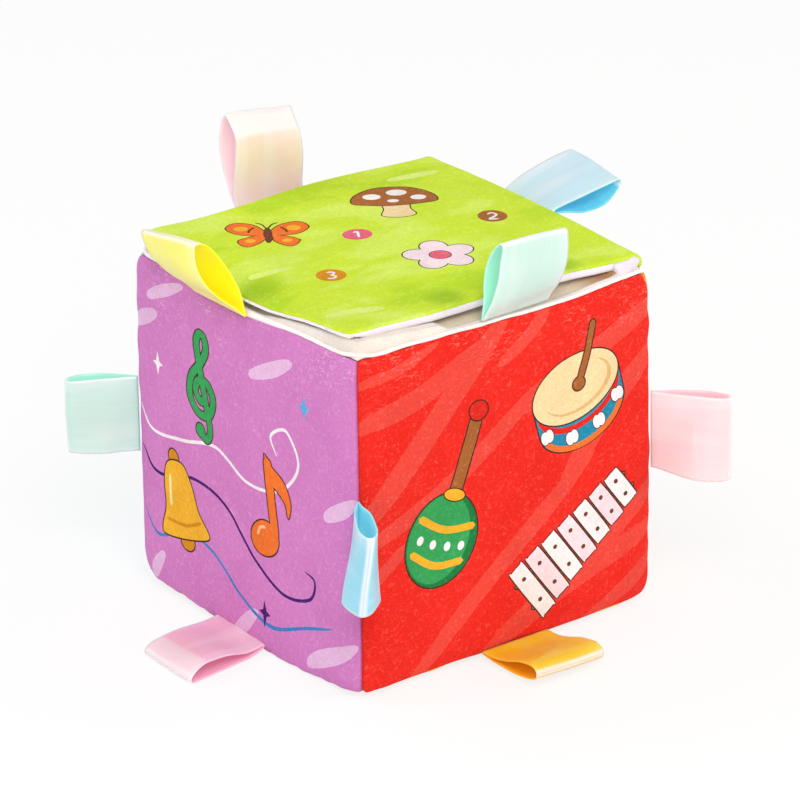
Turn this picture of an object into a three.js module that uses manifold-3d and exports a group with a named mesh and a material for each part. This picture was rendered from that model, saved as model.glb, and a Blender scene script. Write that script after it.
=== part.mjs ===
// A soft activity cube for a baby: a foam block in plush panels, with a padded cover that opens
// like a book on top, a ribbon loop in the middle of every edge, and a press-to-play sound box
// in a pocket of the foam.
// Millimetres, +Z up. The origin is the centre of the flat underside.
// The red face looks along -Y, the purple face along -X, and the cover is hinged at +X.
import * as THREE from "three";
import { mergeVertices } from "three/addons/utils/BufferGeometryUtils.js";
import Module from "manifold-3d";

const wasm = await Module();
wasm.setup();

// Clearance that touching pieces keep
const gap = 0.3;

// Plush block, measured from seam to seam
const seamWidth = 110;
const seamHeight = 108;
const roundness = 18; // exponent of the block's form: higher is squarer
const crown = 0.9; // swell of each face beyond its rounded edges
const restFlat = 0.5; // how far the underside is pressed flat
const plushThickness = 2;
const panelCells = 12; // grid cells along each side of a panel

// Piping round three sides of the top seam
const pipingRadius = 0.7;

// Padded cover
const coverInset = 4; // from the front and back seams to the cover's edges
const coverThickness = 3.2;
const coverCornerRadius = 4;
const coverSquareness = 36; // exponent of the plush top's outline: higher is squarer
const coverPlush = 1;
const coverLining = 0.6;
const coverCrown = 0.5;
const coverBand = 1.2; // cream band round the free edges
const coverBandShort = 0.5; // the plush stands above the band by this much
const deckClearance = 0.4; // between the deck and the closed cover
const hingeOutset = 1; // hinge line beyond the side seam
const hingeSlack = 1.5; // from the hinge line to the padded end of the cover
const hingeStripThickness = 0.9;
const hingeStripShort = 3; // the strip stops short of the cover's corners by this much

// Ribbon loops
const ribbonWidth = 25;
const ribbonThickness = 0.8;
const looseHalfGap = 4; // half the width of an open loop
const flatHalfGap = 3.6; // the same for the loops that lie along the floor
const ribbonStitched = 3; // sewn length at the root
const ribbonCornerOutset = 1; // from an upright seam to the root of its loop
const ribbonSteps = 24;

// Sound box
const boxLength = 60;
const boxWidth = 46;
const boxHeight = 24;
const boxCorner = 4;
const boxWall = 1.6;
const boxSplit = 16; // height of the joint between the two halves
const boxOffsetY = -8; // the pocket lies clear of the opening in the deck
const lidThickness = 12; // foam over the sound box

// Screws and their bosses
const screwShaftRadius = 1;
const screwHeadRadius = 2.2;
const screwHeadHeight = 0.8;
const bossRadius = 3;
const bossOverlap = 0.4; // how far a boss runs into the wall beside it
const caseScrewSink = 6;
const caseScrewReach = 4.5; // length of the screw in the upper half

// Speaker
const speakerRadius = 14;
const speakerX = -13.5;
const speakerFlange = 1;
const speakerDepth = 5.4;
const speakerThroat = 8.8;
const speakerWall = 0.8;
const speakerHole = 3.5;
const speakerRimDepth = 1; // the rim round the speaker reaches this far below its flange
const coneHeart = 4.5; // radius of the cone's middle
const conePaper = 0.5;
const magnetRadius = 8.2;
const magnetHeight = 4;
const speakerRim = 1.2;
const grilleHoleRadius = 1.1;
const grilleRings = 2;
const grillePitch = 4.6;

// Play button
const buttonRadius = 8;
const buttonX = 11.6;
const buttonProud = 2.6;
const buttonTravel = 2;
const buttonFlange = 1.2;
const buttonFlangeHeight = 1.2;
const buttonEdge = 0.8;
const stemRadius = 2;
const springWire = 0.5;
const springRadius = 4.5;
const springTurns = 4;
const springStepsPerTurn = 8;
const springSides = 5;

// Circuit board
const boardThickness = 1.2;
const boardLength = 20;
const boardWidth = 38;
const boardUnderside = 14.2;
const postRadius = 1.2;
const postInset = 2; // from the board's end to the middle of its post
const chipRadius = 3.5;
const chipHeight = 1.4;
const chipSteps = 4;
const chipY = -14;

// Button cells and their door
const cellRadius = 5.8;
const cellHeight = 5.4;
const cellCount = 3;
const contactThickness = 0.4;
const contactHalf = 3.5;
const holderWall = 1.2;
const contactSpringLength = 3;
const contactSpringTurns = 3;
const doorThickness = 1.6;
const doorLedge = 1.5;
const doorScrewTab = 6;
const doorScrewReach = 5;
const doorBossTop = 2; // the boss closes over the screw's end by this much
const wireRadius = 0.45;

// Opening in the deck, closed with hook and loop tape
const slitLength = 64;
const slitWidth = 1.6;
const slitY = 36;
const tapeLength = 72;
const tapeWidth = 20;
const tapeThickness = 1.2;

// Worked out from the sizes above
const edgePull = 2 ** (1 / roundness);
const halfWidth = (seamWidth / 2) * edgePull;
const halfHeight = (seamHeight / 2) * edgePull;
const centreZ = halfHeight + crown - restFlat;
const seamHalf = seamWidth / 2;
const topSeamZ = centreZ + seamHeight / 2;
const deckTopZ = centreZ + halfHeight;
const coreInset = plushThickness + gap;
const coreTopZ = deckTopZ - coreInset;
const coverUnderZ = deckTopZ + deckClearance;
const coverTopZ = coverUnderZ + coverThickness;
const hingeX = seamHalf + hingeOutset;
const hingeZ = coverUnderZ;
const boxTopZ = coreTopZ - lidThickness - gap;
const boxZ = boxTopZ - boxHeight;

const finishes = {
  redPlush: { color: 0xf9281c, roughness: 0.9 },
  purplePlush: { color: 0xd27fcb, roughness: 0.9 },
  bluePlush: { color: 0x58b7e8, roughness: 0.9 },
  orangePlush: { color: 0xffa031, roughness: 0.9 },
  yellowPlush: { color: 0xffd83c, roughness: 0.9 },
  greenPlush: { color: 0xc5e32b, roughness: 0.9 },
  creamFabric: { color: 0xede6e0, roughness: 0.85 },
  foam: { color: 0xf3f1ea, roughness: 0.95 },
  mintSatin: { color: 0xcdefe3, roughness: 0.35 },
  yellowSatin: { color: 0xfbf57a, roughness: 0.35 },
  blueSatin: { color: 0xbfe6f5, roughness: 0.35 },
  pinkSatin: { color: 0xfadadf, roughness: 0.35 },
  tape: { color: 0xf0eeea, roughness: 0.8 },
  casePlastic: { color: 0xf4f4f2, roughness: 0.4 },
  buttonPlastic: { color: 0xe8442f, roughness: 0.35 },
  board: { color: 0x1f6b3a, roughness: 0.5 },
  epoxy: { color: 0x151515, roughness: 0.3 },
  steel: { color: 0xb8babd, roughness: 0.3, metalness: 1 },
  brass: { color: 0xc9a650, roughness: 0.3, metalness: 1 },
  paperCone: { color: 0x2b2b2b, roughness: 0.8 },
  magnet: { color: 0x6d6f72, roughness: 0.4, metalness: 1 },
  redWire: { color: 0xc2281f, roughness: 0.5 },
  blackWire: { color: 0x202020, roughness: 0.5 },
};

const upZ = new THREE.Vector3(0, 0, 1);
const cube = new THREE.Group();

function addPiece(name, geometry, finish) {
  const mesh = new THREE.Mesh(geometry, new THREE.MeshStandardMaterial(finishes[finish]));
  mesh.name = name;
  cube.add(mesh);
  return mesh;
}

// Closed geometry from shared corner points and triangles
function closedGeometry(points, triangles) {
  const geometry = new THREE.BufferGeometry();
  geometry.setAttribute("position", new THREE.Float32BufferAttribute(points.flat(), 3));
  geometry.setIndex(triangles.flat());
  return geometry;
}

function solidOf(geometry) {
  const bare = geometry.clone();
  bare.deleteAttribute("normal");
  bare.deleteAttribute("uv");
  const merged = mergeVertices(bare, 1e-4);
  const mesh = new wasm.Mesh({
    numProp: 3,
    vertProperties: new Float32Array(merged.attributes.position.array),
    triVerts: new Uint32Array(merged.index.array),
  });
  return new wasm.Manifold(mesh);
}

function geometryOf(solid) {
  const mesh = solid.getMesh();
  const geometry = new THREE.BufferGeometry();
  geometry.setAttribute("position", new THREE.BufferAttribute(new Float32Array(mesh.vertProperties), 3));
  geometry.setIndex(new THREE.BufferAttribute(new Uint32Array(mesh.triVerts), 1));
  return geometry;
}

// The base geometry joined with some solids, then cut by others
function carved(base, { joined = [], cut = [] }) {
  let solid = solidOf(base);
  for (const piece of joined) solid = solid.add(solidOf(piece));
  for (const piece of cut) solid = solid.subtract(solidOf(piece));
  return geometryOf(solid);
}

function block(x0, x1, y0, y1, z0, z1) {
  const geometry = new THREE.BoxGeometry(x1 - x0, y1 - y0, z1 - z0);
  return geometry.translate((x0 + x1) / 2, (y0 + y1) / 2, (z0 + z1) / 2);
}

function upright(radius, x, y, z0, z1, segments = 20) {
  const geometry = new THREE.CylinderGeometry(radius, radius, z1 - z0, segments);
  return geometry.rotateX(Math.PI / 2).translate(x, y, (z0 + z1) / 2);
}

function roundedRectangle(x0, x1, y0, y1, radius) {
  const outline = new THREE.Shape();
  outline.moveTo(x0 + radius, y0);
  outline.lineTo(x1 - radius, y0);
  outline.absarc(x1 - radius, y0 + radius, radius, -Math.PI / 2, 0);
  outline.lineTo(x1, y1 - radius);
  outline.absarc(x1 - radius, y1 - radius, radius, 0, Math.PI / 2);
  outline.lineTo(x0 + radius, y1);
  outline.absarc(x0 + radius, y1 - radius, radius, Math.PI / 2, Math.PI);
  outline.lineTo(x0, y0 + radius);
  outline.absarc(x0 + radius, y0 + radius, radius, Math.PI, Math.PI * 1.5);
  return outline;
}

function plate(shape, z0, z1) {
  const settings = { depth: z1 - z0, bevelEnabled: false, curveSegments: 6 };
  return new THREE.ExtrudeGeometry(shape, settings).translate(0, 0, z0);
}

// A round bar along a curve, with flat ends
function bar(curve, radius, steps, sides = 8) {
  const section = new THREE.Shape();
  section.absarc(0, 0, radius, 0, Math.PI * 2);
  const settings = { steps, extrudePath: curve, curveSegments: sides };
  return new THREE.ExtrudeGeometry(section, settings);
}

// A round cord through level stops, mitred at its corners, with flat ends
function levelCord(stops, radius, sides = 6) {
  const points = [];
  const triangles = [];
  const last = stops.length - 1;
  stops.forEach((stop, i) => {
    const before = stops[Math.max(i - 1, 0)];
    const after = stops[Math.min(i + 1, last)];
    const ahead = new THREE.Vector3().subVectors(after, before).normalize();
    const side = new THREE.Vector3().crossVectors(ahead, upZ).normalize();
    const above = new THREE.Vector3().crossVectors(side, ahead);
    for (let k = 0; k < sides; k++) {
      const a = (k / sides) * Math.PI * 2;
      const corner = stop.clone();
      corner.addScaledVector(side, radius * Math.cos(a));
      corner.addScaledVector(above, radius * Math.sin(a));
      points.push(corner.toArray());
    }
  });
  const at = (i, k) => i * sides + (k % sides);
  for (let i = 0; i < last; i++) {
    for (let k = 0; k < sides; k++) {
      triangles.push([at(i, k), at(i + 1, k + 1), at(i, k + 1)]);
      triangles.push([at(i, k), at(i + 1, k), at(i + 1, k + 1)]);
    }
  }
  for (let k = 1; k + 1 < sides; k++) {
    triangles.push([at(0, 0), at(0, k), at(0, k + 1)]);
    triangles.push([at(last, 0), at(last, k + 1), at(last, k)]);
  }
  return closedGeometry(points, triangles);
}

// The block's form: each face's outward, sideways and upward directions
const faces = {
  front: { out: [0, -1, 0], right: [1, 0, 0], up: [0, 0, 1], crown },
  back: { out: [0, 1, 0], right: [-1, 0, 0], up: [0, 0, 1], crown },
  left: { out: [-1, 0, 0], right: [0, -1, 0], up: [0, 0, 1], crown },
  right: { out: [1, 0, 0], right: [0, 1, 0], up: [0, 0, 1], crown },
  top: { out: [0, 0, 1], right: [1, 0, 0], up: [0, 1, 0], crown: 0 },
  bottom: { out: [0, 0, -1], right: [1, 0, 0], up: [0, -1, 0], crown },
};

// A point of the form at u across and v up a face, both from -1 to 1, and inset below the surface
function formPoint(face, u, v, inset = 0) {
  const { out, right, up, crown: swell } = faces[face];
  const pull = (Math.abs(u) ** roundness + Math.abs(v) ** roundness + 1) ** (1 / roundness);
  const half = [halfWidth - inset, halfWidth - inset, halfHeight - inset];
  const rise = swell * (1 - u * u) * (1 - v * v);
  const ray = out.map((part, i) => part + right[i] * u + up[i] * v);
  const point = ray.map((part, i) => (half[i] * part) / pull + out[i] * rise);
  point[2] = Math.max(point[2] + centreZ, inset);
  return point;
}

// Places along a panel from one trimmed edge to the other, closer together near its edges
function spread(low, high, cells) {
  const places = [];
  for (let i = 0; i <= cells; i++) {
    const t = Math.sin(((i / cells) * 2 - 1) * (Math.PI / 2));
    places.push(t < 0 ? -t * low : t * high);
  }
  return places;
}

// Closed plate between two grids of points with the same layout
function shellBetween(outer, inner) {
  const rows = outer.length;
  const columns = outer[0].length;
  const points = [...outer.flat(), ...inner.flat()];
  const triangles = [];
  const at = (layer, i, j) => layer * rows * columns + i * columns + j;
  const quad = (a, b, c, d) => triangles.push([a, b, c], [a, c, d]);
  for (let i = 0; i + 1 < rows; i++) {
    for (let j = 0; j + 1 < columns; j++) {
      quad(at(0, i, j), at(0, i, j + 1), at(0, i + 1, j + 1), at(0, i + 1, j));
      quad(at(1, i, j), at(1, i + 1, j), at(1, i + 1, j + 1), at(1, i, j + 1));
    }
  }
  for (let j = 0; j + 1 < columns; j++) {
    quad(at(1, 0, j), at(1, 0, j + 1), at(0, 0, j + 1), at(0, 0, j));
    quad(at(0, rows - 1, j), at(0, rows - 1, j + 1), at(1, rows - 1, j + 1), at(1, rows - 1, j));
  }
  for (let i = 0; i + 1 < rows; i++) {
    quad(at(0, i, 0), at(0, i + 1, 0), at(1, i + 1, 0), at(1, i, 0));
    const [low, high] = [at(0, i, columns - 1), at(0, i + 1, columns - 1)];
    quad(at(1, i, columns - 1), at(1, i + 1, columns - 1), high, low);
  }
  return closedGeometry(points, triangles);
}

// How far a panel stops short of each seam, as a share of the half side
const seamTrim = gap / (Math.SQRT2 * seamHalf);
const pipedTrim = (pipingRadius + gap) / seamHalf;

function panel(face, trims) {
  const across = spread(-1 + trims.left, 1 - trims.right, panelCells);
  const upward = spread(-1 + trims.low, 1 - trims.high, panelCells);
  const grid = (inset) => upward.map((v) => across.map((u) => formPoint(face, u, v, inset)));
  return shellBetween(grid(0), grid(plushThickness));
}

const plainTrims = { left: seamTrim, right: seamTrim, low: seamTrim, high: seamTrim };
const pipedTopTrims = { ...plainTrims, high: pipedTrim };
addPiece("front_panel", panel("front", pipedTopTrims), "redPlush");
addPiece("left_panel", panel("left", pipedTopTrims), "purplePlush");
addPiece("back_panel", panel("back", pipedTopTrims), "bluePlush");
addPiece("right_panel", panel("right", plainTrims), "orangePlush");
addPiece("bottom_panel", panel("bottom", plainTrims), "yellowPlush");

// The deck under the cover has the slit that the sound box goes in through
const deckTrims = { left: pipedTrim, right: seamTrim, low: pipedTrim, high: pipedTrim };
const slit = block(
  -slitLength / 2,
  slitLength / 2,
  slitY - slitWidth / 2,
  slitY + slitWidth / 2,
  coreTopZ,
  deckTopZ + gap,
);
addPiece("deck_panel", carved(panel("top", deckTrims), { cut: [slit] }), "creamFabric");

// White piping in the top seam, from the hinge side round the front, left and back
function pipingStops() {
  const end = 1 - pipedTrim;
  const stops = [];
  for (const [face, from, to] of [
    ["front", end, 1],
    ["left", 1, 1],
    ["back", 1, end],
  ]) {
    const places = spread(-to, from, panelCells).reverse();
    if (stops.length) places.shift();
    for (const u of places) stops.push(new THREE.Vector3(...formPoint(face, u, 1)));
  }
  return stops;
}
addPiece("deck_piping", levelCord(pipingStops(), pipingRadius), "creamFabric");

// Foam block with the pocket for the sound box and the recess for the tapes
function foamForm(inset, cells) {
  const places = spread(-1, 1, cells);
  const points = [];
  const triangles = [];
  for (const face of Object.keys(faces)) {
    const start = points.length;
    for (const v of places) for (const u of places) points.push(formPoint(face, u, v, inset));
    for (let i = 0; i < cells; i++) {
      for (let j = 0; j < cells; j++) {
        const corner = start + i * (cells + 1) + j;
        triangles.push([corner, corner + 1, corner + cells + 2]);
        triangles.push([corner, corner + cells + 2, corner + cells + 1]);
      }
    }
  }
  return closedGeometry(points, triangles);
}

const pocketX = boxLength / 2 + gap;
const pocketY = boxWidth / 2 + gap;
const pocketCut = block(
  -pocketX,
  pocketX,
  boxOffsetY - pocketY,
  boxOffsetY + pocketY,
  boxZ - gap,
  deckTopZ,
);
const recessX = tapeLength / 2 + gap;
const recessY = tapeWidth / 2 + gap;
const recessZ = coreTopZ - 2 * (tapeThickness + gap);
const tapeCut = block(-recessX, recessX, slitY - recessY, slitY + recessY, recessZ, deckTopZ);
addPiece("foam_core", carved(foamForm(coreInset, panelCells), { cut: [pocketCut, tapeCut] }), "foam");

// Foam plug over the sound box, hollowed for the button
const lidUnderZ = boxTopZ + gap;
const buttonHollow = upright(
  buttonRadius + 2 * gap,
  buttonX,
  boxOffsetY,
  lidUnderZ - gap,
  lidUnderZ + buttonProud,
);
const lidBlock = block(
  -boxLength / 2,
  boxLength / 2,
  boxOffsetY - boxWidth / 2,
  boxOffsetY + boxWidth / 2,
  lidUnderZ,
  coreTopZ,
);
addPiece("foam_lid", carved(lidBlock, { cut: [buttonHollow] }), "foam");

// Hook and loop tape that closes the slit
function tapeStrip(topZ) {
  return block(
    -tapeLength / 2,
    tapeLength / 2,
    slitY - tapeWidth / 2,
    slitY + tapeWidth / 2,
    topZ - tapeThickness,
    topZ,
  );
}
addPiece("loop_tape", tapeStrip(coreTopZ), "tape");
addPiece("hook_tape", tapeStrip(coreTopZ - tapeThickness - gap), "tape");

// Padded cover: plush on top, foam, lining below, and a cream band round its three free edges
const coverX0 = -seamHalf + gap;
const coverX1 = hingeX - hingeSlack;
const coverY = seamHalf - coverInset;

// Outline of the cover with round corners at its free edge and a square hinge end
function coverOutline(inset, hingeEnd = coverX1) {
  const [x, y, radius] = [coverX0 + inset, coverY - inset, coverCornerRadius - inset];
  const outline = new THREE.Shape();
  outline.moveTo(hingeEnd, -y);
  outline.lineTo(hingeEnd, y);
  outline.lineTo(x + radius, y);
  outline.absarc(x + radius, y - radius, radius, Math.PI / 2, Math.PI);
  outline.lineTo(x, -y + radius);
  outline.absarc(x + radius, -y + radius, radius, Math.PI, Math.PI * 1.5);
  return outline;
}

// Plate whose top swells in the middle: its corners are rounded by a power curve
function swollenPlate(inset, z0, z1, swell) {
  const middleX = (coverX0 + inset + coverX1) / 2;
  const halfX = (coverX1 - coverX0 - inset) / 2;
  const halfY = coverY - inset;
  const places = spread(-1, 1, panelCells);
  const grid = (top) =>
    places.map((v) =>
      places.map((u) => {
        const power = Math.abs(u) ** coverSquareness + Math.abs(v) ** coverSquareness;
        const reach = power > 0 ? Math.max(Math.abs(u), Math.abs(v)) / power ** (1 / coverSquareness) : 1;
        const z = top ? z1 - swell + swell * (1 - u ** 4) * (1 - v ** 4) : z0;
        return [middleX + u * reach * halfX, v * reach * halfY, z];
      }),
    );
  return shellBetween(grid(true), grid(false));
}

const liningTopZ = coverUnderZ + coverLining;
const plushUnderZ = coverTopZ - coverPlush;
const inBand = coverBand + gap;
addPiece("cover_top", swollenPlate(inBand, plushUnderZ, coverTopZ, coverCrown), "greenPlush");
addPiece("cover_foam", plate(coverOutline(inBand), liningTopZ + gap, plushUnderZ - gap), "foam");
addPiece("cover_lining", plate(coverOutline(inBand), coverUnderZ, liningTopZ), "creamFabric");

const bandTopZ = coverTopZ - coverBandShort;
const insideBand = plate(coverOutline(coverBand, coverX1 + gap), coverUnderZ - gap, bandTopZ + gap);
const band = carved(plate(coverOutline(0), coverUnderZ, bandTopZ), { cut: [insideBand] });
addPiece("cover_band", band, "creamFabric");

// Green strip that carries the cover: sewn in the seam at the hinge side
const stripX = seamHalf + gap + hingeStripThickness / 2;
const stripY = coverY - hingeStripShort;
const hingeStrip = block(
  stripX - hingeStripThickness / 2,
  stripX + hingeStripThickness / 2,
  -stripY,
  stripY,
  topSeamZ + gap,
  hingeZ - gap,
);
addPiece("hinge_strip", hingeStrip, "greenPlush");

// Side view of a loop: s runs out from the seam and t across the open loop.
// The outer edge is a pear curve, and the hole is a smaller one that starts past the stitches.
function pearPoints(start, end, halfGap, steps) {
  const widest = 0.77; // the largest value of sin(a) sin(a / 2)
  const points = [];
  for (let i = 0; i < steps; i++) {
    const a = (i / steps) * Math.PI * 2;
    const reach = (1 - Math.cos(a)) / 2;
    points.push([start + (end - start) * reach, (halfGap * Math.sin(a) * Math.sin(a / 2)) / widest]);
  }
  return points;
}

// A loop of satin ribbon as a closed band, in its own s, t and w directions
function ribbonBand(length, halfGap) {
  const root = ribbonThickness;
  const loop = pearPoints(0, length, halfGap, ribbonSteps);
  const clear = loop.filter(([s, t]) => s > length / 2 || Math.abs(t) > root);
  const outline = [[0, -root], [0, root], ...clear];
  const shape = new THREE.Shape(outline.map(([s, t]) => new THREE.Vector2(s, t)));
  const inner = pearPoints(
    ribbonStitched,
    length - ribbonThickness,
    halfGap - ribbonThickness,
    ribbonSteps,
  );
  inner.reverse();
  shape.holes.push(new THREE.Path(inner.map(([s, t]) => new THREE.Vector2(s, t))));
  const settings = { depth: ribbonWidth, bevelEnabled: false, curveSegments: 1 };
  return new THREE.ExtrudeGeometry(shape, settings).translate(0, 0, -ribbonWidth / 2);
}

// Carries the band to its seam: it leans along the seam and bends towards "droop" as it goes out
function placedRibbon({ root, out, across, along, length, halfGap = looseHalfGap, lean = 0, droop = 0 }) {
  const geometry = ribbonBand(length, halfGap);
  const places = geometry.attributes.position;
  const point = new THREE.Vector3();
  for (let i = 0; i < places.count; i++) {
    const [s, t, w] = [places.getX(i), places.getY(i), places.getZ(i)];
    const share = s / length;
    point.copy(root);
    point.addScaledVector(out, s);
    point.addScaledVector(across, t);
    point.addScaledVector(along, w + lean * share);
    point.z -= droop * share * share;
    places.setXYZ(i, point.x, point.y, point.z);
  }
  return geometry;
}

const sideWays = {
  front: new THREE.Vector3(0, -1, 0),
  back: new THREE.Vector3(0, 1, 0),
  left: new THREE.Vector3(-1, 0, 0),
  right: new THREE.Vector3(1, 0, 0),
};

// Ribbon at the middle of a top or bottom seam: raised is its angle above the outward direction
function seamRibbon(name, side, finish, { level, offset, outset, middle = 0, raised, ...form }) {
  const outward = sideWays[side];
  const angle = THREE.MathUtils.degToRad(raised);
  const out = outward.clone().multiplyScalar(Math.cos(angle)).addScaledVector(upZ, Math.sin(angle));
  const along = new THREE.Vector3().crossVectors(upZ, outward);
  const across = new THREE.Vector3().crossVectors(along, out);
  const root = outward.clone().multiplyScalar(seamHalf + outset);
  root.addScaledVector(along, middle);
  root.z = level + offset;
  addPiece(name, placedRibbon({ root, out, across, along, ...form }), finish);
}

// Ribbon at the middle of an upright seam, pointing straight out from the corner
function cornerRibbon(name, sideA, sideB, finish, { height = 0, ...form }) {
  const out = sideWays[sideA].clone().add(sideWays[sideB]).normalize();
  const across = new THREE.Vector3().crossVectors(upZ, out);
  const root = out.clone().multiplyScalar(seamHalf / Math.SQRT1_2 + ribbonCornerOutset);
  root.z = centreZ + height;
  addPiece(name, placedRibbon({ root, out, across, along: upZ, ...form }), finish);
}

// Where the stitched root of a loop starts, out from and above its seam
const pipedSeam = { level: topSeamZ, offset: pipingRadius + 2 * gap, outset: pipingRadius + gap };
const hingeSeam = { level: topSeamZ, offset: -6 * gap, outset: 5 * gap };
const sideSeam = { level: topSeamZ, offset: -6.5 * gap, outset: 8 * gap };
const floorSeam = { level: centreZ - seamHeight / 2, offset: 2 * gap, outset: 5 * gap };
const floorLoop = { ...floorSeam, halfGap: flatHalfGap, raised: 5, droop: 1.5 };

const topLeft = { middle: -8.4, raised: 76, length: 20, lean: -15 };
const topFront = { middle: 3, raised: 69, length: 28 };
const topBack = { middle: 3, raised: 78, length: 30 };
const topRight = { middle: 7, raised: 20, length: 26, lean: -5 };
seamRibbon("ribbon_top_left", "left", "yellowSatin", { ...sideSeam, ...topLeft });
seamRibbon("ribbon_top_front", "front", "mintSatin", { ...pipedSeam, ...topFront });
seamRibbon("ribbon_top_back", "back", "pinkSatin", { ...pipedSeam, ...topBack });
seamRibbon("ribbon_top_right", "right", "blueSatin", { ...hingeSeam, ...topRight });

const bottomLeft = { middle: -2.5, length: 31, lean: 4 };
const bottomFront = { middle: 1.8, length: 28, lean: 2 };
const bottomRight = { length: 29 };
const bottomBack = { length: 29 };
seamRibbon("ribbon_bottom_left", "left", "pinkSatin", { ...floorLoop, ...bottomLeft });
seamRibbon("ribbon_bottom_front", "front", "yellowSatin", { ...floorLoop, ...bottomFront });
seamRibbon("ribbon_bottom_right", "right", "mintSatin", { ...floorLoop, ...bottomRight });
seamRibbon("ribbon_bottom_back", "back", "blueSatin", { ...floorLoop, ...bottomBack });

const frontLeft = { height: -3, length: 26 };
const backLeft = { height: -0.8, length: 22 };
const frontRight = { height: 1.3, length: 24.5, droop: 1.4 };
const backRight = { length: 27, droop: 2 };
cornerRibbon("ribbon_front_left", "front", "left", "blueSatin", frontLeft);
cornerRibbon("ribbon_back_left", "back", "left", "mintSatin", backLeft);
cornerRibbon("ribbon_front_right", "front", "right", "pinkSatin", frontRight);
cornerRibbon("ribbon_back_right", "back", "right", "yellowSatin", backRight);

// Sound box, in heights above its own underside
const boxX = boxLength / 2;
const boxY = boxWidth / 2;
const innerX = boxX - boxWall;
const innerY = boxY - boxWall;
const innerTop = boxHeight - boxWall;
const upperUnder = boxSplit + gap;
const hole = screwShaftRadius + gap;
const headHole = screwHeadRadius + gap;
const bossX = innerX + bossOverlap - bossRadius;
const bossY = innerY + bossOverlap - bossRadius;
const bossPlaces = [
  [-bossX, -bossY],
  [bossX, -bossY],
  [bossX, bossY],
  [-bossX, bossY],
];

// Puts a piece of the sound box in its pocket
function addBoxPiece(name, geometry, finish) {
  return addPiece(name, geometry.translate(0, boxOffsetY, boxZ), finish);
}

function boxShape(inset) {
  return roundedRectangle(-boxX + inset, boxX - inset, -boxY + inset, boxY - inset, boxCorner - inset);
}

// Column of button cells, its contacts and the door below it
const cellsLength = cellCount * cellHeight + (cellCount - 1) * gap;
const cellY0 = -cellsLength / 2;
const doorTopZ = doorThickness;
const cellZ = doorTopZ + gap + cellRadius;
const plateY = -cellY0 + gap;
const springEndY = cellY0 - gap - contactSpringLength;
const doorX = cellRadius + 2 * gap + doorLedge;
const doorY1 = plateY + contactThickness + gap + doorLedge;
const doorY0 = springEndY - gap - doorScrewTab;
const doorScrewY = doorY0 + doorScrewTab / 2;
const frameTop = doorTopZ + gap + doorLedge;
const doorScrewEnd = doorTopZ + doorScrewReach;

const floorFrame = block(
  buttonX - doorX - doorLedge,
  buttonX + doorX + doorLedge,
  doorY0 - doorLedge,
  doorY1 + doorLedge,
  0,
  frameTop,
);
const doorRecess = block(
  buttonX - doorX - gap,
  buttonX + doorX + gap,
  doorY0 - gap,
  doorY1 + gap,
  -gap,
  doorTopZ + gap,
);
const cellOpening = block(
  buttonX - cellRadius - 2 * gap,
  buttonX + cellRadius + 2 * gap,
  springEndY - gap,
  plateY + contactThickness + gap,
  -gap,
  frameTop + gap,
);
const holderTop = cellZ + contactHalf / 2;
const springHolder = block(
  buttonX - contactHalf,
  buttonX + contactHalf,
  springEndY - gap - holderWall,
  springEndY - gap,
  frameTop - doorLedge / 2,
  holderTop,
);
const plateHolder = block(
  buttonX - contactHalf,
  buttonX + contactHalf,
  plateY + contactThickness + gap,
  plateY + contactThickness + gap + holderWall,
  frameTop - doorLedge / 2,
  holderTop,
);
const doorBossZ = doorScrewEnd + doorBossTop;
const doorBoss = upright(bossRadius - gap, buttonX, doorScrewY, doorTopZ + gap, doorBossZ);
const doorScrewHole = upright(hole, buttonX, doorScrewY, -gap, doorScrewEnd + gap);

// Posts under the circuit board, clear of the cells and of the bosses
const boardX0 = buttonX - boardLength / 2;
const postX = boardX0 + postRadius;
const postY = boardWidth / 2 - postInset;
const boardPosts = [-1, 1].map((side) =>
  upright(postRadius, postX, side * postY, boxWall / 2, boardUnderside - gap, 10),
);

const lowerCavity = plate(boxShape(boxWall), boxWall, boxSplit + gap);
const lowerBosses = bossPlaces.map(([x, y]) => upright(bossRadius, x, y, boxWall / 2, boxSplit));
const lowerHoles = bossPlaces.flatMap(([x, y]) => [
  upright(hole, x, y, -gap, boxSplit + gap, 14),
  upright(headHole, x, y, -gap, caseScrewSink, 14),
]);
const emptyTray = carved(plate(boxShape(0), 0, boxSplit), { cut: [lowerCavity] });
const trayFittings = [floorFrame, springHolder, plateHolder, doorBoss, ...boardPosts, ...lowerBosses];
const trayCuts = [doorRecess, cellOpening, doorScrewHole, ...lowerHoles];
addBoxPiece("case_lower", carved(emptyTray, { joined: trayFittings, cut: trayCuts }), "casePlastic");

// Grille holes over the speaker, in rings
const grilleHoles = [upright(grilleHoleRadius, speakerX, 0, innerTop - gap, boxHeight + gap, 8)];
for (let ring = 1; ring <= grilleRings; ring++) {
  for (let i = 0; i < ring * 6; i++) {
    const angle = (i / (ring * 6)) * Math.PI * 2;
    const x = speakerX + Math.cos(angle) * ring * grillePitch;
    const y = Math.sin(angle) * ring * grillePitch;
    grilleHoles.push(upright(grilleHoleRadius, x, y, innerTop - gap, boxHeight + gap, 8));
  }
}
const buttonHole = upright(buttonRadius + gap, buttonX, 0, innerTop - gap, boxHeight + gap, 28);
const upperCavity = plate(boxShape(boxWall), upperUnder - gap, innerTop);
const upperBosses = bossPlaces.map(([x, y]) => upright(bossRadius, x, y, upperUnder, innerTop + gap));
const caseScrewEnd = boxSplit + caseScrewReach;
const upperHoles = bossPlaces.map(([x, y]) => upright(hole, x, y, boxSplit, caseScrewEnd + gap, 14));
const rimBore = speakerRadius + gap;
const rimUnder = innerTop - speakerFlange - speakerRimDepth;
const rimOuter = upright(rimBore + speakerRim, speakerX, 0, rimUnder, innerTop + gap, 32);
const rimInner = upright(rimBore, speakerX, 0, rimUnder - gap, innerTop, 32);
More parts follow.
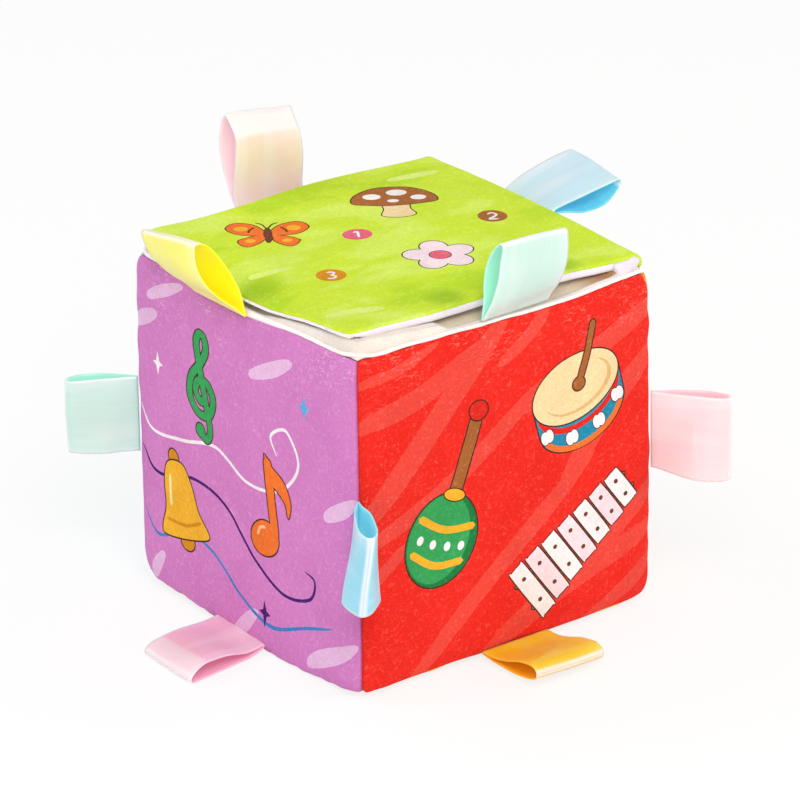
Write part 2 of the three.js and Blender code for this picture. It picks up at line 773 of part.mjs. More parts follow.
const emptyCap = carved(plate(boxShape(0), upperUnder, boxHeight), { cut: [upperCavity] });
const speakerSeat = carved(rimOuter, { cut: [rimInner] });
const capFittings = [speakerSeat, ...upperBosses];
const capCuts = [buttonHole, ...grilleHoles, ...upperHoles];
addBoxPiece("case_upper", carved(emptyCap, { joined: capFittings, cut: capCuts }), "casePlastic");

// Round piece turned about an upright axis through x, y: the profile is radius and height pairs
function turned(profile, x, y, segments = 28) {
  const geometry = new THREE.LatheGeometry(profile.map(([r, z]) => new THREE.Vector2(r, z)), segments);
  return geometry.rotateX(Math.PI / 2).translate(x, y, 0);
}

// Screw with its head down
function screw(x, y, headZ, topZ) {
  const shaftZ = headZ + screwHeadHeight;
  const profile = [
    [0, headZ],
    [screwHeadRadius, headZ],
    [screwHeadRadius, shaftZ],
    [screwShaftRadius, shaftZ],
    [screwShaftRadius, topZ],
    [0, topZ],
  ];
  return turned(profile, x, y, 14);
}
bossPlaces.forEach(([x, y], i) => {
  const headZ = caseScrewSink - gap - screwHeadHeight;
  addBoxPiece(`case_screw_${i + 1}`, screw(x, y, headZ, caseScrewEnd), "steel");
});

// Speaker: basket under the roof, cone in the basket and magnet below it
const flangeTop = innerTop - gap;
const flangeUnder = flangeTop - speakerFlange;
const basketFloor = flangeTop - speakerDepth;
const basketShoulder = speakerThroat + flangeUnder - basketFloor;
const basketProfile = [
  [speakerHole, basketFloor],
  [speakerThroat, basketFloor],
  [basketShoulder, flangeUnder],
  [speakerRadius, flangeUnder],
  [speakerRadius, flangeTop],
  [basketShoulder - speakerWall, flangeTop],
  [basketShoulder - speakerWall, flangeUnder],
  [speakerThroat - speakerWall / 2, basketFloor + speakerWall],
  [speakerHole, basketFloor + speakerWall],
  [speakerHole, basketFloor],
];
addBoxPiece("speaker_basket", turned(basketProfile, speakerX, 0), "steel");

const coneRim = basketShoulder - speakerWall - gap;
const coneFloor = basketFloor + speakerWall + gap;
const coneProfile = [
  [0, coneFloor],
  [coneHeart, coneFloor],
  [coneRim, flangeUnder + gap],
  [coneRim, flangeTop],
  [coneRim - conePaper, flangeTop],
  [coneHeart, coneFloor + 2 * conePaper],
  [coneHeart / 2, coneFloor + 3 * conePaper],
  [0, coneFloor + 4 * conePaper],
];
addBoxPiece("speaker_cone", turned(coneProfile, speakerX, 0), "paperCone");
addBoxPiece(
  "speaker_magnet",
  upright(magnetRadius, speakerX, 0, basketFloor - gap - magnetHeight, basketFloor - gap, 28),
  "magnet",
);

// Circuit board with its covered chip
const boardTop = boardUnderside + boardThickness;
const boardX1 = boardX0 + boardLength;
const board = block(boardX0, boardX1, -boardWidth / 2, boardWidth / 2, boardUnderside, boardTop);
addBoxPiece("circuit_board", board, "board");
const chipProfile = [[0, boardTop + gap]];
for (let i = 0; i <= chipSteps; i++) {
  const angle = (i / chipSteps) * (Math.PI / 2);
  chipProfile.push([chipRadius * Math.cos(angle), boardTop + gap + chipHeight * Math.sin(angle)]);
}
addBoxPiece("chip_cover", turned(chipProfile, buttonX, chipY, 14), "epoxy");

// Play button: cap, flange under the roof and stem above the board
const flangeZ1 = innerTop - gap;
const flangeZ0 = flangeZ1 - buttonFlangeHeight;
const buttonTop = boxHeight + buttonProud;
const stemEnd = boardTop + buttonTravel + gap;
const buttonProfile = [
  [0, stemEnd],
  [stemRadius, stemEnd],
  [stemRadius, flangeZ0],
  [buttonRadius + buttonFlange, flangeZ0],
  [buttonRadius + buttonFlange, flangeZ1],
  [buttonRadius, flangeZ1],
  [buttonRadius, buttonTop - buttonEdge],
  [buttonRadius - buttonEdge, buttonTop],
  [0, buttonTop],
];
addBoxPiece("play_button", turned(buttonProfile, buttonX, 0), "buttonPlastic");

// A coil wound about an axis, as one tube: the frame's columns are across, across and along
function coil({ radius, endRadius, turns, wire, length, frame }) {
  const steps = turns * springStepsPerTurn;
  const points = [];
  const triangles = [];
  for (let i = 0; i <= steps; i++) {
    const turn = (i / steps) * turns * Math.PI * 2;
    const share = i / steps;
    const reach = radius + (endRadius - radius) * share;
    for (let k = 0; k < springSides; k++) {
      const a = (k / springSides) * Math.PI * 2;
      const r = reach + (wire / 2) * Math.cos(a);
      const rise = wire / 2 + (length - wire) * share + (wire / 2) * Math.sin(a);
      points.push(frame(r * Math.cos(turn), r * Math.sin(turn), rise));
    }
  }
  const at = (i, k) => i * springSides + (k % springSides);
  for (let i = 0; i < steps; i++) {
    for (let k = 0; k < springSides; k++) {
      triangles.push([at(i, k), at(i + 1, k), at(i + 1, k + 1)]);
      triangles.push([at(i, k), at(i + 1, k + 1), at(i, k + 1)]);
    }
  }
  for (let k = 1; k + 1 < springSides; k++) {
    triangles.push([at(0, 0), at(0, k), at(0, k + 1)]);
    triangles.push([at(steps, 0), at(steps, k + 1), at(steps, k)]);
  }
  return closedGeometry(points, triangles);
}

const springUnder = boardTop + gap;
const springLength = flangeZ0 - gap - springUnder;
addBoxPiece(
  "button_spring",
  coil({
    radius: springRadius,
    endRadius: springRadius,
    turns: springTurns,
    wire: springWire,
    length: springLength,
    frame: (x, y, rise) => [buttonX + x, y, springUnder + rise],
  }),
  "steel",
);

// Cells lie along Y, with a flat contact at one end and a coiled one at the other
for (let i = 0; i < cellCount; i++) {
  const cell = new THREE.CylinderGeometry(cellRadius, cellRadius, cellHeight, 24);
  cell.translate(buttonX, cellY0 + cellHeight / 2 + i * (cellHeight + gap), cellZ);
  addBoxPiece(`cell_${i + 1}`, cell, "steel");
}
const contactPlate = block(
  buttonX - contactHalf,
  buttonX + contactHalf,
  plateY,
  plateY + contactThickness,
  cellZ - contactHalf,
  cellZ + contactHalf,
);
addBoxPiece("contact_plate", contactPlate, "brass");
addBoxPiece(
  "contact_spring",
  coil({
    radius: contactHalf,
    endRadius: contactHalf / 2,
    turns: contactSpringTurns,
    wire: contactThickness,
    length: contactSpringLength,
    frame: (x, y, rise) => [buttonX + y, springEndY + rise, cellZ + x],
  }),
  "brass",
);

const doorPlate = block(buttonX - doorX, buttonX + doorX, doorY0, doorY1, 0, doorTopZ);
const doorCuts = [
  upright(hole, buttonX, doorScrewY, -gap, doorTopZ + gap, 14),
  upright(headHole, buttonX, doorScrewY, -gap, screwHeadHeight + gap, 14),
];
addBoxPiece("battery_door", carved(doorPlate, { cut: doorCuts }), "casePlastic");
addBoxPiece("door_screw", screw(buttonX, doorScrewY, 0, doorScrewEnd), "steel");

// Leads from the board to the speaker and to the cells' contacts
function lead(stops) {
  const curve = new THREE.CatmullRomCurve3(stops.map(([x, y, z]) => new THREE.Vector3(x, y, z)));
  return bar(curve, wireRadius, 16, 3);
}
const leadZ = boardTop + gap + wireRadius;
const tagX = speakerX + speakerThroat;
for (const [name, side, finish] of [
  ["speaker_lead_1", -1, "redWire"],
  ["speaker_lead_2", 1, "blackWire"],
]) {
  const stops = [
    [tagX + gap, side * 5, basketFloor + wireRadius],
    [tagX + 2.5, side * 7, boardTop - 1],
    [boardX0 + 0.5, side * 9, leadZ],
    [boardX0 + 3.5, side * 9.5, leadZ],
  ];
  addBoxPiece(name, lead(stops), finish);
}
const underBoard = boardUnderside - gap - wireRadius;
const besideContact = gap + wireRadius;
const contactTop = cellZ + contactHalf;
const plateBack = plateY + contactThickness + besideContact;
const plateLead = [
  [buttonX, plateBack, contactTop - 0.5],
  [buttonX, plateBack + 0.5, contactTop + 1],
  [buttonX, plateBack + 2, underBoard - 0.2],
  [buttonX, plateBack + 4, underBoard],
];
const coilTop = contactTop + contactThickness / 2 + besideContact;
const springLead = [
  [buttonX, springEndY + 0.8, coilTop],
  [buttonX, springEndY - 0.6, coilTop + 0.6],
  [buttonX, springEndY - 2.5, underBoard - 0.2],
  [buttonX, springEndY - 4.5, underBoard],
];
addBoxPiece("battery_lead_1", lead(plateLead), "redWire");
addBoxPiece("battery_lead_2", lead(springLead), "blackWire");

export default cube;
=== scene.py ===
# A soft activity cube: velour panels over foam, a padded cover that opens like a book,
# satin loops along the edges and a press-to-play sound box inside.
# Shapes are worked out in millimetres and turned to metres when a mesh is made.
import math
import bmesh
import bpy
import numpy as np
from mathutils import Matrix, Vector
from mathutils.geometry import delaunay_2d_cdt
from mathutils.kdtree import KDTree


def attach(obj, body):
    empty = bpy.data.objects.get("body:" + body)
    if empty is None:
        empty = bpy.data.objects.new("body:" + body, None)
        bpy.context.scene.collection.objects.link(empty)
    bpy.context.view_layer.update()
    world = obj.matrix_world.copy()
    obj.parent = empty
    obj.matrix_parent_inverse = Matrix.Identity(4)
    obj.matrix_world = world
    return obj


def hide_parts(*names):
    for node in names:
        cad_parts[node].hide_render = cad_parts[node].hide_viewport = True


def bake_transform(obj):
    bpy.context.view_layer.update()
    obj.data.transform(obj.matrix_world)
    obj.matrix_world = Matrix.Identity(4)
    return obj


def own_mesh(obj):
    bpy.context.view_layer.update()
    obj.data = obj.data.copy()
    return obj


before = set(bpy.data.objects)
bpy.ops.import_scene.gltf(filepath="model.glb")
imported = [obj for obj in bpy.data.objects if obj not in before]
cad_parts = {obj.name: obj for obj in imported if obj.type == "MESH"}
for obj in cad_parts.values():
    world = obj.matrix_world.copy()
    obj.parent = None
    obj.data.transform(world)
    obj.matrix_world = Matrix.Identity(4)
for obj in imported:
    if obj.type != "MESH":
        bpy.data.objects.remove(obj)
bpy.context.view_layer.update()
mm = 0.001
scene = bpy.context.scene
scene.view_settings.view_transform = "Standard"

# The photo's camera: a long lens, a little above, with the block's middle just off centre
camera = {"azimuth": -37.2, "elevation": 23.88, "roll": -0.92, "distance": 2200, "lens": 324.6,
          "right": 1.98, "up": 6.83, "middle": (0, 0, 56.52)}


def addCamera():
    az, el, lean = (math.radians(camera[k]) for k in ("azimuth", "elevation", "roll"))
    back = Vector((math.sin(az) * math.cos(el), -math.cos(az) * math.cos(el), math.sin(el)))
    level = (-back).cross(Vector((0, 0, 1))).normalized()
    rise = back.cross(level)
    right = level * math.cos(lean) + rise * math.sin(lean)
    up = rise * math.cos(lean) - level * math.sin(lean)
    place = Vector(camera["middle"]) + right * camera["right"] + up * camera["up"]
    place += back * camera["distance"]
    data = bpy.data.cameras.new("camera")
    data.lens = camera["lens"]
    data.clip_end = 50
    item = bpy.data.objects.new("camera", data)
    item.matrix_world = Matrix.LocRotScale(
        place * mm, Matrix((right, up, back)).transposed().to_quaternion(), None)
    scene.collection.objects.link(item)
    scene.camera = item


addCamera()
print("camera made")


# Node materials. Patterns read Object coordinates, or the flat cloth's, in millimetres. A ramp is
# written as where it starts and ends, and what it gives at its start and at its end.
def linear(hexCode):
    channels = [int(hexCode[i:i + 2], 16) / 255 for i in (1, 3, 5)]
    bent = [c / 12.92 if c <= 0.04045 else ((c + 0.055) / 1.055) ** 2.4 for c in channels]
    return (*bent, 1)


# A link's source is a socket, a plain value, or a node whose first live output is meant
def addNode(tree, kind, links=None, **settings):
    node = tree.nodes.new(kind)
    for key, value in settings.items():
        setattr(node, key, value)
    for socket, source in (links or {}).items():
        if isinstance(source, bpy.types.Node):
            source = next(output for output in source.outputs if output.enabled)
        if isinstance(source, bpy.types.NodeSocket):
            tree.links.new(source, node.inputs[socket])
        else:
            node.inputs[socket].default_value = source
    return node


def newMaterial(name):
    material = bpy.data.materials.new(name)
    material.use_nodes = True
    material.node_tree.nodes.clear()
    return material, material.node_tree


# Where a point lies in millimetres: on its piece, or on the flat cloth
def millimetres(tree, cloth=False):
    if cloth:
        place = addNode(tree, "ShaderNodeUVMap", uv_map="cloth")
    else:
        place = addNode(tree, "ShaderNodeTexCoord").outputs["Object"]
    return addNode(tree, "ShaderNodeVectorMath", {0: place, 3: 1000}, operation="SCALE")


# A cloudy grain of a real size, turned by an angle and squeezed along its axes
def grainOf(tree, place, size, detail=2, distortion=0.0, roughness=0.5, squeeze=(1, 1, 1), turn=0.0):
    laid = addNode(tree, "ShaderNodeMapping", {
        "Vector": place, "Rotation": (0, 0, math.radians(turn)), "Scale": squeeze})
    return addNode(tree, "ShaderNodeTexNoise", {
        "Vector": laid, "Scale": 1 / size, "Detail": detail, "Distortion": distortion,
        "Roughness": roughness})


# The product of smooth ramps, each with the value that it reads
def maskOf(tree, *ramps):
    mask = None
    for value, low, high, atLow, atHigh in ramps:
        ramp = addNode(tree, "ShaderNodeMapRange", {
            "Value": value, "From Min": low, "From Max": high, "To Min": atLow, "To Max": atHigh},
            interpolation_type="SMOOTHSTEP")
        mask = addNode(tree, "ShaderNodeMath", {0: mask, 1: ramp}, operation="MULTIPLY") if mask else ramp
    return mask


# A tint over the ground, as strong as the ramps give it
def tinted(tree, ground, tint, *ramps):
    share = maskOf(tree, *ramps)
    return addNode(tree, "ShaderNodeMix", {0: share, 6: ground, 7: linear(tint)}, data_type="RGBA")


# Patterns added up to one height, each with its share
def reliefOf(tree, *parts):
    total = 0
    for pattern, share in parts:
        total = addNode(tree, "ShaderNodeMath", {0: pattern, 1: share, 2: total}, operation="MULTIPLY_ADD")
    return total


# The surface of a finish; the depth of its relief is in millimetres
def addSurface(tree, settings, colour, rough, relief, depth, strength=0.8):
    bump = addNode(tree, "ShaderNodeBump", {
        "Height": relief, "Distance": depth * mm, "Strength": strength})
    shader = addNode(tree, "ShaderNodeBsdfPrincipled", {
        **settings, "Base Color": colour, "Roughness": rough, "Normal": bump})
    addNode(tree, "ShaderNodeOutputMaterial", {"Surface": shader})


# Short-pile velour, printed: hairs under 1.5 mm give a soft grain and pale rims. Pale curled marks
# painted into the colour stand in for highlights on the pile, and they also raise its relief a little.
# The marks are strongest near the top seam, weaker on the cover and faint low on the sides.
velour = {
    "pile": {"size": 1.15, "detail": 3, "distortion": 0.9, "roughness": 0.62},
    "fine": {"size": 0.42, "detail": 1, "distortion": 0.4},
    "curls": {"size": 2.1, "detail": 1, "distortion": 1.1, "roughness": 0.6, "squeeze": (1, 1, 2.4)},
    "patch": {"size": 12, "detail": 1, "distortion": 0.2},
    "nap": {"size": 17, "distortion": 0.6},
    "marksCurls": (0.56, 0.66, 0, 1), "marksPatch": (0.4, 0.62, 0, 1), "marksBelow": (84, 104, 0.16, 1),
    "marksAbove": (109, 114, 1, 0.4), "marksHighlight": 0.5, "napDark": (0.3, 0.72, 0, 0.3),
    "pileDark": (0.36, 0.66, 0.26, 0), "pilePale": (0.52, 0.78, 0, 0.4), "rough": (0.3, 0.7, 0.86, 1),
    "heights": (0.7, 0.3, 0.25), "depth": 0.32, "strength": 0.9, "sheen": 0.32}


def makeVelour(name, base, dark, pale, pattern=None):
    material, tree = newMaterial(name)
    place = millimetres(tree)
    pile, fine, curls, patch, nap = (
        grainOf(tree, place, **velour[grain]) for grain in ("pile", "fine", "curls", "patch", "nap"))
    height = addNode(tree, "ShaderNodeSeparateXYZ", {0: place}).outputs[2]
    marks = maskOf(tree, (curls, *velour["marksCurls"]), (patch, *velour["marksPatch"]),
                   (height, *velour["marksBelow"]), (height, *velour["marksAbove"]))
    # Painted highlight: the marks turn the colour pale, as light catching the pile would
    share = addNode(tree, "ShaderNodeMath", {0: marks, 1: velour["marksHighlight"]}, operation="MULTIPLY")
    colour = linear(base)
    if pattern:
        colour = pattern(tree, place, colour)
    colour = tinted(tree, colour, dark, (nap, *velour["napDark"]))
    colour = tinted(tree, colour, dark, (pile, *velour["pileDark"]))
    colour = tinted(tree, colour, pale, (pile, *velour["pilePale"]))
    colour = addNode(tree, "ShaderNodeMix", {0: share, 6: colour, 7: linear(pale)}, data_type="RGBA")
    relief = reliefOf(tree, *zip((pile, fine, marks), velour["heights"]))
    soft = {"Sheen Weight": velour["sheen"], "Sheen Roughness": 0.45, "Sheen Tint": linear(pale),
            "Specular IOR Level": 0.12}
    rough = maskOf(tree, (fine, *velour["rough"]))
    addSurface(tree, soft, colour, rough, relief, velour["depth"], velour["strength"])
    return material


# Soft pale and dark clouds of the green print. Darker patches at fixed places, beside the left loop
# and near the cover's front edges, are painted shade.
clouds = {"size": 34, "distortion": 0.5, "squeeze": (1, 1.9, 1), "turn": 30}
cloudTints = (("#D9F070", (0.5, 0.62, 0, 0.75)), ("#A9D414", (0.32, 0.45, 0.8, 0)))
paintedShadeTint = {"tint": "#83B00C", "solid": 2, "share": 0.8}
paintedShadeSpots = (((-51, -2, 116), 13), ((-14, -45, 116), 9), ((30, -46, 116), 8))


def greenClouds(tree, place, ground):
    cloud = grainOf(tree, place, **clouds)
    for tint, ramp in cloudTints:
        ground = tinted(tree, ground, tint, (cloud, *ramp))
    # Painted shade: fixed dark patches beside the left loop and by the front edges
    for middle, reach in paintedShadeSpots:
        away = addNode(tree, "ShaderNodeVectorMath", {0: place, 1: middle}, operation="DISTANCE")
        ground = tinted(tree, ground, paintedShadeTint["tint"],
                        (away, paintedShadeTint["solid"], reach, paintedShadeTint["share"], 0))
    return ground


# Inks are printed on the same pile, so each is darker in its depth and paler at its tips
inkDepth = {"dark": 0.22, "pale": 0.3}


def printVelour(name, hexCode):
    def toward(target, share):
        channels = [int(hexCode[i:i + 2], 16) for i in (1, 3, 5)]
        return "#" + "".join(f"{round(c + (target - c) * share):02X}" for c in channels)
    return makeVelour(name, hexCode, toward(0, inkDepth["dark"]), toward(255, inkDepth["pale"]))


velours = {
    "red": makeVelour("printed velour red", "#E8291E", "#CC170E", "#FA7568"),
    "purple": makeVelour("printed velour purple", "#D080C1", "#BB65AB", "#EBB5E0"),
    "green": makeVelour("printed velour green", "#CBE334", "#AECF18", "#E6F384", greenClouds),
    "blue": makeVelour("printed velour sky blue", "#6CBEEA", "#4A9FD2", "#A9DDF7"),
    "orange": makeVelour("printed velour orange", "#FB9A35", "#E57A17", "#FFC27C"),
    "yellow": makeVelour("printed velour yellow", "#FFD93B", "#EDBB16", "#FFEB8E"),
}


# The deck is cream. Its middle, inside the edge and below where the roll stands up, is painted tan as
# shade under the cover, turning brown towards the spine.
deckShade = {"cream": "#E6D6BE", "brown": "#A2611C", "toDeepShade": (26, 43, 0, 1),
           "edge": (52.2, 53.2, 1, 0), "stretchX": 1.08, "roll": (112.3, 113, 1, 0)}


def shadedDeckMiddle(tree, place, ground):
    x, y, z = addNode(tree, "ShaderNodeSeparateXYZ", {0: place}).outputs
    wide = addNode(tree, "ShaderNodeMath", {0: x, 1: deckShade["stretchX"]}, operation="MULTIPLY")
    wide = addNode(tree, "ShaderNodeMath", {0: wide}, operation="ABSOLUTE")
    deep = addNode(tree, "ShaderNodeMath", {0: y}, operation="ABSOLUTE")
    far = addNode(tree, "ShaderNodeMath", {0: wide, 1: deep}, operation="MAXIMUM")
    inside = maskOf(tree, (far, *deckShade["edge"]), (z, *deckShade["roll"]))
    # Painted shade: tan, and brown towards the spine, stands in for the shadow under the cover
    tan = tinted(tree, linear(deckShade["cream"]), deckShade["brown"], (x, *deckShade["toDeepShade"]))
    return addNode(tree, "ShaderNodeMix", {0: inside, 6: ground, 7: tan}, data_type="RGBA")


# Brushed cream tricot: the plain cloth of deck, lining and spine, matt, with a faint knit
tricot = {"soft": 12, "softDark": (0.3, 0.7, 0, 0.35), "knitDark": (0.35, 0.6, 0.22, 0),
          "rough": (0.3, 0.7, 0.8, 0.95), "depth": 0.16}


def makeTricot(name, base, dark, knit=0.9, pattern=None):
    material, tree = newMaterial(name)
    place = millimetres(tree)
    knots = grainOf(tree, place, knit, distortion=0.6, roughness=0.6)
    soft = grainOf(tree, place, tricot["soft"])
    ground = pattern(tree, place, linear(base)) if pattern else linear(base)
    colour = tinted(tree, ground, dark, (soft, *tricot["softDark"]))
    colour = tinted(tree, colour, dark, (knots, *tricot["knitDark"]))
    brushed = {"Sheen Weight": 0.2, "Sheen Roughness": 0.5, "Specular IOR Level": 0.15}
    rough = maskOf(tree, (knots, *tricot["rough"]))
    addSurface(tree, brushed, colour, rough, knots, tricot["depth"])
    return material


tricots = {
    "cream": makeTricot("brushed tricot cream", "#F1EAE2", "#DCCFBF"),
    "lilac": makeTricot("brushed tricot lilac white", "#EFE8F1", "#D3C7D4"),
    "white": makeTricot("brushed tricot white", "#FAF7F4", "#E6DED6"),
    "deck": makeTricot("brushed tricot cream, painted shade middle", "#EDE5DE", "#CFC0B0", 0.8, shadedDeckMiddle),
}


# Woven satin: long floats along the ribbon give a directional gloss, and pale streaks painted into
# its colour stand in for its streaked sheen; the selvedge is firmer. A painted highlight, white,
# runs along the fold in the ribbon's middle, and some ribbons have a wider painted sheen beside it.
# Real warp is some 0.1 mm apart, which is too fine to show, so it is drawn four times as coarse.
satin = {
    "warp": {"size": 0.42, "squeeze": (1, 0.035, 1)},
    "streak": {"size": 7, "detail": 1, "squeeze": (1, 0.12, 1)},
    "warpDeep": (0.35, 0.65, 0, 0.22), "streakSheen": (0.46, 0.72, 0, 0.34),
    "selvedge": (11.3, 11.9), "selvedgePale": 0.45, "selvedgeHeight": 0.8, "foldHighlight": (0.4, 1.9, 0.75, 0),
    "foldHighlightSplit": (0.1, 0.4, 0.55, 1), "sheenBand": (7.5, 9.5), "warpRough": (0.3, 0.7),
    "gloss": 0.28, "innerGloss": 0.38, "glossRange": 0.14, "anisotropy": 0.85, "depth": 0.05,
    "strength": 0.7, "glow": 1.6, "through": 0.1}


def makeSatin(name, base, deep, pale, gloss, glow=0.0, band=0.0):
    material, tree = newMaterial(name)
    sheet = millimetres(tree, cloth=True)
    warp, streak = (grainOf(tree, sheet, **satin[grain]) for grain in ("warp", "streak"))
    ways = addNode(tree, "ShaderNodeSeparateXYZ", {0: sheet}).outputs
    edge, fold = (addNode(tree, "ShaderNodeMath", {0: way}, operation="ABSOLUTE") for way in ways[:2])
    selvedge = maskOf(tree, (edge, *satin["selvedge"], 0, 1))
    colour = tinted(tree, linear(base), deep, (warp, *satin["warpDeep"]))
    # Painted sheen: pale streaks along the ribbon
    colour = tinted(tree, colour, pale, (streak, *satin["streakSheen"]))
    colour = tinted(tree, colour, pale, (edge, *satin["selvedge"], 0, satin["selvedgePale"]))
    # Painted sheen: a wide pale band either side of the fold, as strong as band
    colour = tinted(tree, colour, pale, (fold, *satin["sheenBand"], band, 0))
    # Painted highlight: a white double line along the fold in the ribbon's middle
    colour = tinted(tree, colour, "#FFFFFF", (fold, *satin["foldHighlight"]), (fold, *satin["foldHighlightSplit"]))
    tangent = addNode(tree, "ShaderNodeTangent", direction_type="UV_MAP", uv_map="cloth")
    # Painted light: the emission glow stands in for light coming through the ribbon
    sheer = {"Emission Color": linear(base), "Emission Strength": glow, "Tangent": tangent,
             "Anisotropic": satin["anisotropy"], "Sheen Weight": 0.15, "Sheen Roughness": 0.3,
             "Specular IOR Level": 0.75, "Subsurface Weight": 0.75, "Subsurface Radius": (1, 1, 1),
             "Subsurface Scale": satin["glow"] * mm}
    rough = maskOf(tree, (warp, *satin["warpRough"], gloss, gloss + satin["glossRange"]))
    relief = reliefOf(tree, (warp, 1), (selvedge, satin["selvedgeHeight"]))
    addSurface(tree, sheer, colour, rough, relief, satin["depth"], satin["strength"])
    return material


# A ribbon's face and its inside, the satin's duller back. The inside's deeper colours and its faint
# glow are painted light, standing in for light through the ribbon and bounced inside the loop.
def satinPair(name, base, deep, pale, inner, innerDeep, band=0.0):
    face = makeSatin(f"satin ribbon {name}", base, deep, pale, satin["gloss"], band=band)
    inside = makeSatin(f"satin ribbon {name}, inside", inner, innerDeep, inner, satin["innerGloss"],
                       satin["through"])
    return face, inside


# The inside colours are deeper than the face's, painted light from light through and inside the loop
satins = {
    "mint": satinPair("mint", "#CFF0E6", "#B9E8DA", "#F0FCF8", "#A9EFD8", "#93E3C9"),
    "yellow": satinPair("yellow", "#FCF47C", "#F8ED58", "#FFFCC8", "#FFF51A", "#FFEF00"),
    "blue": satinPair("blue", "#CDEDFC", "#AEDFF7", "#F8FDFF", "#62CDF0", "#2FB6E6"),
    "aqua": satinPair("aqua", "#93D5F1", "#74C4E9", "#D2F0FB", "#86DCEE", "#45B9E0"),
    "pink": satinPair("pink", "#FADCE2", "#F6CAD4", "#FFF4F6", "#F8C2CF", "#F0A9BB"),
    "rose": satinPair("rose", "#F8BCD1", "#F3A2BE", "#FDE9EC", "#F9B4CB", "#F39AB9", 0.6),
    "peach": satinPair("peach", "#F9DCCB", "#F4CDB9", "#FFF5F6", "#FAD3DC", "#F5C2CE", 0.85),
    "gold": satinPair("gold", "#F8CD22", "#EDAE14", "#FCE566", "#EFA516", "#DF910A"),
}
print("cloth materials made")


# Meshes are made from arrays in millimetres. Points closer than this are one, so that no face is
# without area.
weldReach = 0.002


def meshPiece(name, points, faces, materials, faceSlots=None, uv=None):
    mesh = bpy.data.meshes.new(name)
    mesh.from_pydata((np.asarray(points, float) * mm).tolist(), [],
                     faces if isinstance(faces, list) else faces.tolist())
    for material in materials:
        mesh.materials.append(material)
    mesh.polygons.foreach_set("use_smooth", [True] * len(mesh.polygons))
    if faceSlots is not None:
        mesh.polygons.foreach_set("material_index", np.asarray(faceSlots, np.int32))
    if uv is not None:
        layer = mesh.uv_layers.new(name="cloth")
        corners = np.zeros(len(mesh.loops), np.int32)
        mesh.loops.foreach_get("vertex_index", corners)
        layer.data.foreach_set("uv", (np.asarray(uv, float)[corners] * mm).astype(np.float32).ravel())
    shape = bmesh.new()
    shape.from_mesh(mesh)
    bmesh.ops.remove_doubles(shape, verts=shape.verts, dist=weldReach * mm)
    shape.to_mesh(mesh)
    shape.free()
    mesh.update()
    piece = bpy.data.objects.new(name, mesh)
    scene.collection.objects.link(piece)
    return piece


# Quads of a grid of points, whose rows may close into rings
def gridFaces(rows, columns, closed=False, start=0):
    c = np.arange(columns if closed else columns - 1)
    r, c = (a.ravel() for a in np.meshgrid(np.arange(rows - 1), c, indexing="ij"))
    r2, c2 = r + 1, (c + 1) % columns
    quads = [r * columns + c, r * columns + c2, r2 * columns + c2, r2 * columns + c]
    return np.stack(quads, 1) + start


# Unit normals of a grid, on the side that its quads face
def gridNormals(points):
    across = np.gradient(points, axis=1)
    down = np.gradient(points, axis=0)
    normal = np.cross(across, down)
    return normal / np.maximum(np.linalg.norm(normal, axis=-1, keepdims=True), 1e-9)


# A cloth from two grids of points, its outer and its inner layer, with the rim closed
def clothFromGrid(name, outer, inner, materials, uv=None):
    rows, columns = outer.shape[:2]
    count = rows * columns
    top = gridFaces(rows, columns)
    bottom = gridFaces(rows, columns, start=count)[:, ::-1]
    ring = np.concatenate([
        np.arange(columns - 1), np.arange(rows - 1) * columns + columns - 1,
        count - 1 - np.arange(columns - 1), (rows - 1 - np.arange(rows - 1)) * columns])
    after = np.roll(ring, -1)
    rim = np.stack([after, ring, ring + count, after + count], 1)
    faces = np.concatenate([top, bottom, rim])
    slots = np.concatenate([np.zeros(len(top)), np.full(len(faces) - len(top), len(materials) - 1)])
    points = np.concatenate([outer.reshape(-1, 3), inner.reshape(-1, 3)])
    if uv is not None:
        uv = np.concatenate([uv.reshape(-1, 2)] * 2)
    return meshPiece(name, points, faces, materials, slots, uv)


def smoothRamp(value, low, high):
    t = np.clip((value - low) / (high - low), 0, 1)
    return t * t * (3 - 2 * t)


# Smooth noise as a sum of waves, the same on every run
def waveSum(points, sizes, seed):
    draw = np.random.default_rng(seed)
    total = np.zeros(points.shape[:-1])
    for size in sizes:
        direction = draw.normal(size=points.shape[-1])
        direction /= np.linalg.norm(direction)
        total += np.sin(points @ direction * (2 * math.pi / size) + draw.uniform(0, 2 * math.pi))
    return total / math.sqrt(len(sizes))


# A smooth curve through the given points, with evenly spaced samples, and its length
curveSamples = 12


def throughPoints(points, count, closed=False):
    p = np.asarray(points, float)
    if closed:
        p = np.concatenate([p[-1:], p, p[:2]])
    else:
        p = np.concatenate([[2 * p[0] - p[1]], p, [2 * p[-1] - p[-2]]])
    t = np.linspace(0, 1, curveSamples, endpoint=False)[:, None]
    runs = []
    for a, b, c, d in zip(p, p[1:], p[2:], p[3:]):
        runs.append(0.5 * (2 * b + (c - a) * t + (2 * a - 5 * b + 4 * c - d) * t ** 2
                           + (3 * b - a - 3 * c + d) * t ** 3))
    dense = np.concatenate([*runs, p[-2:-1]])
    step = np.concatenate([[0], np.cumsum(np.linalg.norm(np.diff(dense, axis=0), axis=1))])
    even = np.linspace(0, step[-1], count, endpoint=not closed)
    return np.stack([np.interp(even, step, dense[:, k]) for k in range(p.shape[1])], 1), step[-1]


